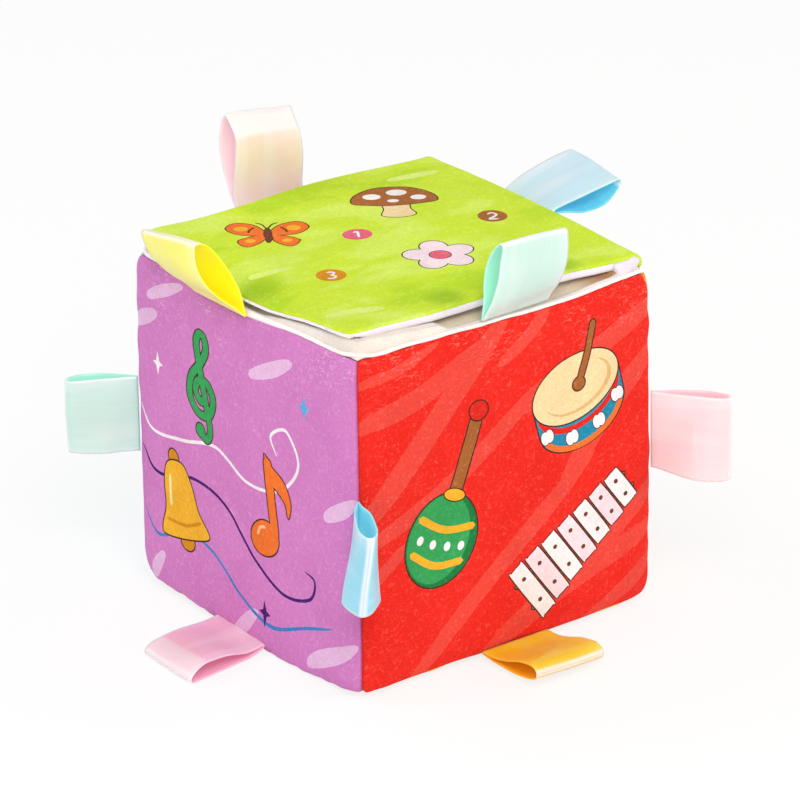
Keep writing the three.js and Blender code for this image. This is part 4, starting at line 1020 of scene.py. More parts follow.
def addPiping():
    far, r, turns = piping["reach"], piping["corner"], piping["turns"]
    inner = far - r
    count = round(2 * inner / piping["step"])
    front = np.stack([np.linspace(-inner, piping["end"], count), np.full(count, -far)], 1)
    back = np.stack([np.linspace(piping["end"], -inner, count), np.full(count, far)], 1)
    left = np.stack([np.full(count, -far), np.linspace(inner, -inner, count)], 1)
    plan = np.concatenate([back, roundedCorner((-inner, inner), r, 90, 180, turns)[1:-1], left,
                           roundedCorner((-inner, -inner), r, 180, 270, turns)[1:-1], front])
    path = np.column_stack([plan, np.full(len(plan), piping["level"])])
    path[:, 2] += piping["wave"] * waveSum(path, (9, 13, 21), 31) - sagOf(path)
    swell = np.exp(-((path[:, 1] - piping["swellAt"]) / piping["swellReach"]) ** 2) * (path[:, 0] < 0)
    uneven = 1 + piping["uneven"] * waveSum(path, (4, 5, 7), 32)
    radius = piping["radius"] * uneven + piping["swell"] * swell
    points, faces = tube(path, (radius, radius), piping["sides"])
    piece = meshPiece("top_piping", points, faces, [tricots["white"]])
    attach(piece, "cube")
    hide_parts("deck_piping")


addPiping()
print("deck and piping made")


# Cover. The velour runs over the top, rolls over three edges and carries on over the spine
# at +X down to the seam; a rounded binding shows below its edges.
cover = {"left": -54.6, "halfY": 50.9, "squareness": 40, "top": 116.2, "crown": 0.5,
         "crownMiddle": -2, "crownHalf": (57, 51), "roll": 0.85, "turn": 104, "rollSteps": 10,
         "cell": 1.0, "thick": 0.8, "spineX": 51.4, "spineZ": 110.9, "spineRadius": 5.35,
         "spineSteps": 21, "tuck": (0.1, 0.6), "foot": (56.0, 109.5), "footRise": 0.35}


# Height of the cover above its plain form: a lifted front left corner, a dip beside the left
# loop, and lifts with a place, a reach and a height, of which two sag at the ends of the spine
coverForm = {"wave": 0.16, "ripple": 0.03, "corner": 1.9, "cornerX": (-12, -52), "cornerY": (-12, -50),
             "dip": 3.0, "dipX": -56, "dipReach": 10, "dipFront": 25, "dipBack": 9}
coverLifts = (((-55, 51), (15, 15), 2.0), ((0, 51), (34, 18), 1.1), ((54, 51), (22, 24), -1.5),
              ((52, -53), (20, 26), -1.9), ((-2, -51), (28, 14), 0.2))


def coverHeight(x, y):
    points = np.stack([x, y], -1)
    total = coverForm["wave"] * waveSum(points, (38, 52, 27, 70), 41)
    total += coverForm["ripple"] * waveSum(points, (9, 12, 15), 42)
    for (cx, cy), (reachX, reachY), lift in coverLifts:
        total = total + lift * np.exp(-((x - cx) / reachX) ** 2 - ((y - cy) / reachY) ** 2)
    corner = smoothRamp(x, *coverForm["cornerX"]) * smoothRamp(y, *coverForm["cornerY"])
    along = np.where(y < 0, y / coverForm["dipFront"], y / coverForm["dipBack"])
    away = (x - coverForm["dipX"]) / coverForm["dipReach"]
    return total + coverForm["corner"] * corner - coverForm["dip"] * np.exp(-along ** 2 - away ** 2)


# The places of the rows as shares of half the width, and the angle of roll at each
def coverRows():
    turn, steps = math.radians(cover["turn"]), cover["rollSteps"]
    flat = np.linspace(-1, 1, round(2 * cover["halfY"] / cover["cell"]))
    bend = np.linspace(0, turn, steps + 1)[1:]
    shift = np.concatenate([np.full(steps, -1.0), flat, np.full(steps, 1.0)])
    angle = np.concatenate([bend[::-1], np.zeros(len(flat)), bend])
    return shift, angle


# The cover's top rolls over at three of its edges; each point's angle of roll goes with it
def coverGrid():
    r = cover["roll"]
    long = cover["spineX"] - cover["left"] - r
    shift, angle = coverRows()
    columns = np.linspace(-1, 1, round(long / cover["cell"]))
    rolled = angle[:cover["rollSteps"]]
    u = np.concatenate([np.full(len(rolled), -1.0), columns])
    uAngle = np.concatenate([rolled, np.zeros(len(columns))])
    uu, vv = np.meshgrid(u, shift)
    au, av = np.meshgrid(uAngle, angle)
    halfY = cover["halfY"] - r
    n = cover["squareness"]
    middle = (cover["left"] + r + cover["spineX"]) / 2
    size = np.maximum(np.maximum(np.abs(uu), np.abs(vv)), 1e-6)
    norm = (np.abs(uu / size) ** n + np.abs(vv / size) ** n) ** (1 / n)
    corner = np.where(uu < 0, norm, 1)
    x = middle + long / 2 * uu / corner
    y = halfY * vv / corner
    a = np.maximum(au, av)
    nx = np.where((uu < 0) & (a > 0), -np.abs(uu) ** (n - 1), 0)
    ny = np.where(a > 0, np.sign(vv) * np.abs(vv) ** (n - 1), 0)
    length = np.maximum(np.hypot(nx, ny), 1e-9)
    halfCrownX, halfCrownY = cover["crownHalf"]
    crown = 1 - ((x - cover["crownMiddle"]) / halfCrownX) ** 2
    crown = cover["crown"] * crown * (1 - (y / halfCrownY) ** 2)
    z = cover["top"] + crown + coverHeight(x, y) - r + r * np.cos(a)
    x = x + nx / length * r * np.sin(a)
    y = y + ny / length * r * np.sin(a)
    return np.stack([x, y, z], -1), a


# The spine's columns follow a quarter round from the cover's last column down to the seam
def coverSpine(edge, a):
    turn = np.radians(np.linspace(0, 90, cover["spineSteps"] + 1))[1:]
    spineX, spineZ, radius = cover["spineX"], cover["spineZ"], cover["spineRadius"]
    arc = [(spineX + radius * math.sin(t), spineZ + radius * math.cos(t)) for t in turn]
    footX, footZ = cover["foot"]
    tuckX, tuckZ = cover["tuck"]
    end = arc[-1][0]
    arc += [(end - tuckX, spineZ - tuckZ), ((end + footX) / 2, footZ + cover["footRise"]), (footX, footZ)]
    top = spineZ + radius
    rolled = cover["roll"] * (1 - np.cos(a))
    rows = []
    for i, (x, z) in enumerate(arc):
        share = 1 - (i + 1) / len(arc)
        line = edge.copy()
        line[:, 0] = x - rolled * math.sin(min((i + 1) / len(turn), 1) * math.pi / 2)
        line[:, 2] = z + (edge[:, 2] - top) * share
        rows.append(line)
    return np.stack(rows, 1)


def addCoverCloth():
    grid, a = coverGrid()
    outer = np.concatenate([grid, coverSpine(grid[:, -1], a[:, -1])], 1)
    inner = outer - gridNormals(outer) * cover["thick"]
    row, column = (n // 2 for n in outer.shape[:2])
    across, along = (np.concatenate([[0], np.cumsum(np.linalg.norm(np.diff(line, axis=0), axis=1))])
                     for line in (outer[row], outer[:, column]))
    across += outer[row, column, 0] - across[column]
    along += outer[row, column, 1] - along[row]
    piece = printedCloth("cover_velour", outer, inner, across, along, velours["green"], tricots["cream"],
                         greenPrint())
    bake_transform(piece)
    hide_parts("cover_top", "hinge_strip")


addCoverCloth()

# The binding below the cover's edges is flatter on the left, where the cover lies closest
binding = {"top": 115.35, "wide": 1.05, "out": 0.5, "corner": 3.6, "end": 45.2, "step": 0.8,
           "tallFront": 1.3, "tallLeft": 0.6, "tallBack": 1.0, "leftTo": (-53, -46), "wave": 0.05,
           "uneven": 0.06, "turns": 14, "sides": 18}


def bindingPath():
    out, r, turns = binding["out"] - binding["wide"], binding["corner"], binding["turns"]
    left, far = cover["left"] - out, cover["halfY"] + out
    count = round(2 * (far - r) / binding["step"])
    runX = np.linspace(left + r, binding["end"], count)
    side = np.linspace(far - r, -far + r, count)
    plan = np.concatenate([
        np.stack([runX[::-1], np.full(count, far)], 1),
        roundedCorner((left + r, far - r), r, 90, 180, turns)[1:-1],
        np.stack([np.full(count, left), side], 1),
        roundedCorner((left + r, -far + r), r, 180, 270, turns)[1:-1],
        np.stack([runX, np.full(count, -far)], 1)])
    return np.column_stack([plan, np.zeros(len(plan))])


def addBinding():
    path = bindingPath()
    x, y = path[:, 0], path[:, 1]
    fromLeft = smoothRamp(x, *binding["leftTo"])
    ends = np.where(y < 0, binding["tallFront"], binding["tallBack"])
    tall = binding["tallLeft"] + (ends - binding["tallLeft"]) * fromLeft
    wave = binding["wave"] * waveSum(path, (8, 11, 17), 51)
    path[:, 2] = binding["top"] - tall + coverHeight(x, y) + wave
    wide = binding["wide"] * (1 + binding["uneven"] * waveSum(path, (5, 7, 9), 52))
    points, faces = tube(path, (wide, tall), binding["sides"])
    piece = meshPiece("cover_binding", points, faces, [tricots["lilac"]])
    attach(piece, "cover")
    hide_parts("cover_band")


addBinding()

# Lining under the cover, closed round the wadding's end near the spine
lining = {"under": 113.2, "highest": 115.75, "edge": 114.2, "rise": 6, "inset": 0.4, "flatEnd": 43.5,
          "end": 43.8, "thick": 0.4, "wave": 0.05, "columns": 100, "rows": 104,
          "endSteps": (0, 0.35, 0.55, 0.65, 0.7, 0.76), "endRise": (0.12, 0.35, 0.8, 1.4, 2.1, 2.9)}


def liningHeight(x, y):
    left, far = cover["left"] + lining["inset"], cover["halfY"] - lining["inset"]
    away = np.minimum(np.minimum(x - left, far - np.abs(y)), lining["rise"])
    z = lining["edge"] + (lining["under"] - lining["edge"]) * smoothRamp(away, 0, lining["rise"])
    wave = lining["wave"] * waveSum(np.stack([x, y], -1), (12, 17, 23), 61)
    return z + wave + coverHeight(x, y)


def addLining():
    left, far = cover["left"] + lining["inset"], cover["halfY"] - lining["inset"]
    closing = lining["end"] + np.array(lining["endSteps"])
    x = np.concatenate([np.linspace(left, lining["flatEnd"], lining["columns"]), closing])
    xx, yy = np.meshgrid(x, np.linspace(-far, far, lining["rows"]))
    z = liningHeight(xx, yy)
    z[:, -len(closing):] += np.array(lining["endRise"])
    z = np.minimum(z, lining["highest"] + coverHeight(xx, yy))
    outer = np.stack([xx, yy, z], -1)[:, ::-1]
    inner = outer + np.array([0, 0, lining["thick"]])
    piece = clothFromGrid("cover_lining_cloth", outer, inner, [tricots["cream"]])
    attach(piece, "cover")
    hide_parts("cover_lining")


addLining()

# Spine roll: a cream D-shaped roll that stays on the deck under the spine, over a green hem
spine = {"half": 51.7, "left": 45.0, "under": 111.2, "top": 115.3, "foot": 55.3, "spread": 4.6,
         "arc": 4.6, "arcMiddle": (51.4, 110.95), "arcTurns": (15, 35, 52), "inset": 0.9,
         "follows": 50, "fadeFrom": 51.4, "fadeLong": 9}
hem = {"half": 51.0, "left": 46.8, "right": 56.2, "under": 110.5, "inset": 0.4, "follow": 0.35}

# A bar's end: its closer rows, its rounding, and how far and where its foot may spread
barEnd = {"steps": (0, 0.08, 0.3, 0.7), "round": 1.4, "rows": 90, "sides": 64, "wave": 0.05,
          "spreadLong": 6, "spreadX": (55, 49), "spreadMost": 0.75}


# A closed bar along Y from its outline in X and Z; the ends draw in to a rounded cap, and may
# spread outwards at the foot
def bar(name, outline, half, material, inset, follow, spread=0.0):
    outline = throughPoints(outline, barEnd["sides"], closed=True)[0]
    centre = outline.mean(0)
    steps, cap = np.array(barEnd["steps"]), barEnd["round"]
    middle = np.linspace(cap - half, half - cap, barEnd["rows"])
    y = np.concatenate([steps - half, middle, (half - steps)[::-1]])
    edge = np.clip((half - np.abs(y)) / cap, 0, 1)
    size = 1 - inset * (1 - np.sqrt(1 - (1 - edge) ** 2)) / np.abs(outline - centre).max()
    ring = centre + (outline - centre)[None] * size[:, None, None]
    points = np.stack([ring[..., 0], np.broadcast_to(y[:, None], ring.shape[:2]), ring[..., 1]], -1)
    foot = (outline[:, 1].max() - points[..., 2]) / np.ptp(outline[:, 1])
    nearEnd = smoothRamp(np.abs(points[..., 1]), half - barEnd["spreadLong"], half)
    nearEnd = nearEnd * smoothRamp(points[..., 0], *barEnd["spreadX"])
    push = spread * nearEnd * np.clip(foot, 0, barEnd["spreadMost"])
    points[..., 1] += np.sign(points[..., 1]) * push
    points[..., 2] += barEnd["wave"] * waveSum(points, (9, 14, 22), 65)
    points[..., 2] += follow(points[..., 0], points[..., 1])
    rows, columns = points.shape[:2]
    faces = gridFaces(rows, columns, closed=True).tolist()
    ends = np.concatenate([points[0].mean(0, keepdims=True), points[-1].mean(0, keepdims=True)])
    first = rows * columns
    for i in range(columns):
        j = (i + 1) % columns
        faces.append([first, j, i])
        faces.append([first + 1, (rows - 1) * columns + i, (rows - 1) * columns + j])
    return meshPiece(name, np.concatenate([points.reshape(-1, 3), ends]), faces, [material])


# The roll and the hem follow the cover's end in height, less so towards the seam
def endHeight(x, y):
    return coverHeight(np.full(x.shape, float(spine["follows"])), y)


def spineHeight(x, y):
    return endHeight(x, y) * np.clip(1 - (x - spine["fadeFrom"]) / spine["fadeLong"], 0, 1)


def hemHeight(x, y):
    return hem["follow"] * endHeight(x, y)


def addSpineRoll():
    left, foot, under, top = (spine[key] for key in ("left", "foot", "under", "top"))
    middleX, middleZ = spine["arcMiddle"]
    arc = [(middleX + spine["arc"] * math.sin(turn), middleZ + spine["arc"] * math.cos(turn))
           for turn in np.radians(spine["arcTurns"])]
    outline = [(left, under + 0.25), (left - 0.05, top - 0.3), (left + 0.4, top), (50.5, top), *arc,
               (foot, 113.2), (foot - 0.6, 112.6), (50, under + 0.5), (left + 0.3, under)]
    piece = bar("spine_roll", outline, spine["half"], tricots["lilac"], spine["inset"], spineHeight,
                spine["spread"])
    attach(piece, "cube")


def addSpineHem():
    left, right, low = hem["left"], hem["right"], hem["under"]
    outline = [(left, low + 0.3), (left + 0.4, low + 0.7), (50, low + 1.2), (54.6, low + 2.1),
               (right, low + 1.9), (right + 0.1, low + 0.9), (55.4, low + 0.2), (50, low),
               (left + 0.3, low)]
    piece = bar("spine_hem", outline, hem["half"], velours["green"], hem["inset"], hemHeight)
    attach(piece, "cube")


# Soft foam and tapes keep the form of their CAD nodes, with worn, rounded edges. Open-cell foam
# shows its pores; hooks and loops show as a coarse and a fluffy nap.
foam = {"tone": 14, "poreDark": (0.1, 0.5, 0.7, 0), "toneDark": (0.35, 0.7, 0, 0.4),
        "rough": (0, 0.6, 0.98, 0.85), "depth": 0.4}


def makeFoam(name, base, dark, pore):
    material, tree = newMaterial(name)
    place = millimetres(tree)
    cells = addNode(tree, "ShaderNodeTexVoronoi", {"Vector": place, "Scale": 1 / pore})
    tone = grainOf(tree, place, foam["tone"])
    colour = tinted(tree, linear(base), dark, (cells, *foam["poreDark"]))
    colour = tinted(tree, colour, dark, (tone, *foam["toneDark"]))
    rough = maskOf(tree, (cells, *foam["rough"]))
    addSurface(tree, {"Specular IOR Level": 0.2}, colour, rough, cells, foam["depth"])
    return material


foams = {
    "block": makeFoam("open-cell foam white", "#F3EFE4", "#DDD3BC", 0.9),
    "pad": makeFoam("polyester wadding", "#F6F5F2", "#E2E0DA", 2.2),
    "loop": makeFoam("loop tape nap", "#F1EEE8", "#D8D2C6", 0.6),
    "hook": makeFoam("hook tape nap", "#EDEBE6", "#BDB8AE", 1.1),
}


# The shown mesh takes the place of a piece's modifiers
def settled(piece):
    shown = bpy.data.meshes.new_from_object(
        piece.evaluated_get(bpy.context.evaluated_depsgraph_get()))
    old = piece.data
    piece.modifiers.clear()
    piece.data = shown
    bpy.data.meshes.remove(old)
    shown.name = piece.name
    shown.polygons.foreach_set("use_smooth", [True] * len(shown.polygons))


def softCopy(name, node, material, cell, rounding):
    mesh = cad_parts[node].data.copy()
    mesh.name = name
    mesh.materials.clear()
    mesh.materials.append(material)
    piece = bpy.data.objects.new(name, mesh)
    scene.collection.objects.link(piece)
    merge = piece.modifiers.new("weld", "WELD")
    merge.merge_threshold = copyWeld * mm
    remesh = piece.modifiers.new("remesh", "REMESH")
    remesh.mode = "VOXEL"
    remesh.voxel_size = cell * mm
    smooth = piece.modifiers.new("smooth", "SMOOTH")
    smooth.iterations = rounding
    smooth.factor = copySmooth
    settled(piece)
    return piece


# Each copy has its name, its node, its foam, its voxels in millimetres and its rounds of smoothing
copyWeld = 0.01
copySmooth = 0.5
softCopies = (("foam_block", "foam_core", "block", 2.0, 3), ("foam_plug", "foam_lid", "block", 1.2, 2),
              ("loop_nap", "loop_tape", "loop", 0.5, 1), ("hook_nap", "hook_tape", "hook", 0.5, 1))
wadding = {"half": 49.6, "inset": 0.4, "outline": (
    (-53.2, 114.0), (-53.4, 114.6), (-52.8, 115.2), (0, 115.5), (43, 115.25), (43.6, 114.6),
    (43.5, 113.9), (40, 113.65), (0, 113.65), (-45, 113.65))}


def addPadding():
    for name, node, kind, cell, rounding in softCopies:
        piece = softCopy(name, node, foams[kind], cell, rounding)
        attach(piece, "cube")
        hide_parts(node)


def addWadding():
    piece = bar("cover_wadding", wadding["outline"], wadding["half"], foams["pad"], wadding["inset"],
                coverHeight)
    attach(piece, "cover")
    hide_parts("cover_foam")


addSpineRoll()
addSpineHem()
addPadding()
addWadding()
print("cover made")


# Stitches: one Geometry Nodes tree lays short threads along a line, a pitch apart
thread = {"pitch": 2.7, "length": 2.1, "radius": 0.17, "shortest": 0.86, "longest": 1.05, "seed": 5,
          "segments": 10, "rings": 8, "points": 90, "slitAway": 3.3, "slitEnd": 33.5,
          "slitLift": 0.08, "edgeAway": 3.4, "edgeEnd": 43, "edgeLift": 0.06}


def stitchTree(material):
    tree = bpy.data.node_groups.new("stitches", "GeometryNodeTree")
    tree.interface.new_socket("line", in_out="INPUT", socket_type="NodeSocketGeometry")
    for label in ("pitch", "length", "radius"):
        tree.interface.new_socket(label, in_out="INPUT", socket_type="NodeSocketFloat")
    tree.interface.new_socket("stitches", in_out="OUTPUT", socket_type="NodeSocketGeometry")
    given = addNode(tree, "NodeGroupInput").outputs
    curve = addNode(tree, "GeometryNodeMeshToCurve", {0: given["line"]})
    spots = addNode(tree, "GeometryNodeCurveToPoints", {"Curve": curve, "Length": given["pitch"]},
                    mode="LENGTH").outputs
    bead = addNode(tree, "GeometryNodeMeshUVSphere", {
        "Segments": thread["segments"], "Rings": thread["rings"], "Radius": given["radius"]})
    wide = addNode(tree, "ShaderNodeMath", {0: given["radius"], 1: 2}, operation="MULTIPLY")
    long = addNode(tree, "ShaderNodeMath", {0: given["length"], 1: wide}, operation="DIVIDE")
    vary = addNode(tree, "FunctionNodeRandomValue", {
        "Min": thread["shortest"], "Max": thread["longest"], "Seed": thread["seed"]}, data_type="FLOAT")
    long = addNode(tree, "ShaderNodeMath", {0: long, 1: vary}, operation="MULTIPLY")
    size = addNode(tree, "ShaderNodeCombineXYZ", {0: 1.0, 1: 1.0, 2: long})
    laid = addNode(tree, "GeometryNodeInstanceOnPoints", {
        "Points": spots["Points"], "Instance": bead, "Rotation": spots["Rotation"], "Scale": size})
    real = addNode(tree, "GeometryNodeRealizeInstances", {0: laid})
    done = addNode(tree, "GeometryNodeSetMaterial", {"Geometry": real, "Material": material})
    addNode(tree, "NodeGroupOutput", {0: done})
    return tree


def addStitches(name, tree, lines):
    points, edges = [], []
    for line in lines:
        start = len(points)
        points += (np.asarray(line) * mm).tolist()
        edges += [(start + i, start + i + 1) for i in range(len(line) - 1)]
    mesh = bpy.data.meshes.new(name)
    mesh.from_pydata(points, edges, [])
    piece = bpy.data.objects.new(name, mesh)
    scene.collection.objects.link(piece)
    modifier = piece.modifiers.new("stitches", "NODES")
    modifier.node_group = tree
    sockets = {item.name: item.identifier for item in tree.interface.items_tree if item.in_out == "INPUT"}
    for label in ("pitch", "length", "radius"):
        modifier[sockets[label]] = thread[label] * mm
    settled(piece)
    return piece


def addSlitStitches(tree):
    along = np.linspace(-thread["slitEnd"], thread["slitEnd"], thread["points"]) / block["half"][0]
    rows = []
    for side in (-1, 1):
        level = (deck["slitY"] + side * thread["slitAway"]) / block["half"][1]
        rows.append(deckSurface(along, np.full(len(along), level), thread["slitLift"])[0])
    piece = addStitches("slit_stitches", tree, rows)
    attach(piece, "cube")


def addCoverStitches(tree):
    away, count = thread["edgeAway"], thread["points"]
    left, far = cover["left"] + away, cover["halfY"] - away
    run = np.linspace(left, thread["edgeEnd"], count)
    side = np.stack([np.full(count, left), np.linspace(far, -far, count)], 1)
    plan = np.concatenate([np.stack([run[::-1], np.full(count, far)], 1), side[1:],
                           np.stack([run, np.full(count, -far)], 1)[1:]])
    level = liningHeight(plan[:, 0], plan[:, 1]) - thread["edgeLift"]
    piece = addStitches("cover_stitches", tree, [np.column_stack([plan, level])])
    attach(piece, "cover")


stitches = stitchTree(makeTricot("cotton thread cream", "#E9E0D2", "#CBBCA6", 0.3))
addSlitStitches(stitches)
addCoverStitches(stitches)
print("stitches made")


# Sound box: hard parts keep their CAD shapes and get their real finishes. Moulded plastic has a
# fine spark-eroded grain that scatters its gloss, and a button is polished over it.
plastic = {"flow": {"size": 16, "distortion": 0.4}, "tint": "#8C8880", "tinted": (0.3, 0.7, 0, 0.12),
           "dulled": (0.3, 0.7), "duller": 0.12, "depth": 0.03, "strength": 0.6}


def makePlastic(name, base, rough, grain=0.5, coat=0.0):
    material, tree = newMaterial(name)
    place = millimetres(tree)
    spark = grainOf(tree, place, grain)
    flow = grainOf(tree, place, **plastic["flow"])
    colour = tinted(tree, linear(base), plastic["tint"], (flow, *plastic["tinted"]))
    moulded = {"Specular IOR Level": 0.5, "Coat Weight": coat, "Coat Roughness": 0.08}
    dull = maskOf(tree, (flow, *plastic["dulled"], rough, rough + plastic["duller"]))
    addSurface(tree, moulded, colour, dull, spark, plastic["depth"], plastic["strength"])
    return material


# Plated, rolled or ground metal: a fine brushed grain, with stains that dull it in patches
metal = {"lines": {"size": 0.35, "detail": 3, "distortion": 0.2},
         "stain": {"size": 6, "detail": 3, "distortion": 0.5}, "stained": (0.45, 0.75, 0, 0.6),
         "dulled": (0.3, 0.8), "duller": 0.22, "depth": 0.02, "strength": 0.5}


def makeMetal(name, base, dark, rough, squeeze=(1, 1, 1)):
    material, tree = newMaterial(name)
    place = millimetres(tree)
    lines, stain = (grainOf(tree, place, **metal[grain], squeeze=squeeze) for grain in ("lines", "stain"))
    colour = tinted(tree, linear(base), dark, (stain, *metal["stained"]))
    dull = maskOf(tree, (stain, *metal["dulled"], rough, rough + metal["duller"]))
    addSurface(tree, {"Metallic": 1.0}, colour, dull, lines, metal["depth"], metal["strength"])
    return material


# Solder mask shows paler copper runs under a clear green coat. The runs are 2 mm apart, coarser
# than real ones, which would be too fine to show.
board = {"apart": 2, "run": 0.05, "mask": ("#176A34", "#1B7339"), "copper": "#4FA45C", "cloud": 5,
         "cloudTint": "#0E4A24", "clouded": (0.35, 0.7, 0, 0.3), "rough": 0.35, "depth": 0.04}


def makeBoard():
    material, tree = newMaterial("glass board, green solder mask")
    place = millimetres(tree)
    one, other = board["mask"]
    runs = addNode(tree, "ShaderNodeTexBrick", {
        "Vector": place, "Scale": 1 / board["apart"], "Mortar Size": board["run"],
        "Color1": linear(one), "Color2": linear(other), "Mortar": linear(board["copper"])})
    cloud = grainOf(tree, place, board["cloud"])
    colour = tinted(tree, runs, board["cloudTint"], (cloud, *board["clouded"]))
    coated = {"Coat Weight": 0.5, "Coat Roughness": 0.12}
    addSurface(tree, coated, colour, board["rough"], runs.outputs["Fac"], board["depth"], 1.0)
    return material


def dressSoundBox():
    white = makePlastic("moulded plastic white, spark-eroded grain", "#F4F4F1", 0.42)
    steel = makeMetal("zinc-plated steel", "#C6C8CB", "#8D9094", 0.26)
    red = makePlastic("insulation red", "#C8281F", 0.3, 0.8)
    black = makePlastic("insulation black", "#1E1E1E", 0.3, 0.8)
    finishes = {
        white: ("case_lower", "case_upper", "battery_door"),
        makePlastic("polished plastic red", "#E8442F", 0.16, 0.9, 0.6): ("play_button",),
        steel: ("case_screw_1", "case_screw_2", "case_screw_3", "case_screw_4", "door_screw",
                "button_spring", "speaker_basket"),
        makeMetal("nickel-plated cell can", "#D4D2CC", "#A9A69E", 0.14, (1, 1, 8)): (
            "cell_1", "cell_2", "cell_3"),
        makeMetal("brass", "#D0AE5A", "#8F6F2C", 0.2): ("contact_plate", "contact_spring"),
        makeMetal("ferrite, ground", "#5D5F62", "#3B3C3E", 0.5): ("speaker_magnet",),
        makePlastic("pressed paper black", "#2A2A2A", 0.85, 0.3): ("speaker_cone",),
        makePlastic("epoxy resin black", "#151515", 0.12, 1.4, 0.4): ("chip_cover",),
        makeBoard(): ("circuit_board",),
        red: ("speaker_lead_1", "battery_lead_1"),
        black: ("speaker_lead_2", "battery_lead_2")}
    for material, names in finishes.items():
        for name in names:
            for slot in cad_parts[name].material_slots:
                slot.material = material
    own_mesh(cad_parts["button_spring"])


dressSoundBox()
print("sound box dressed")


# Satin loops. Each has a side view at either selvedge: steps out from the seam (s) and across
# the open loop (t), in millimetres. The band is drawn between the two.
ribbon = {"width": 25, "thick": 0.35, "across": 27, "around": 120, "bow": 0.35, "ripple": 0.12,
          "rippleFrom": 8, "floorGap": 0.05, "cornerOut": 1}
pipedRoot = {"level": 111.82, "outset": 56.0}
sideRoot = {"level": 108.57, "outset": 57.4}
hingeRoot = {"level": 108.72, "outset": 56.5}
floorRoot = {"level": 3.12, "outset": 56.5}
sideWays = {"front": (0, -1, 0), "back": (0, 1, 0), "left": (-1, 0, 0), "right": (1, 0, 0)}


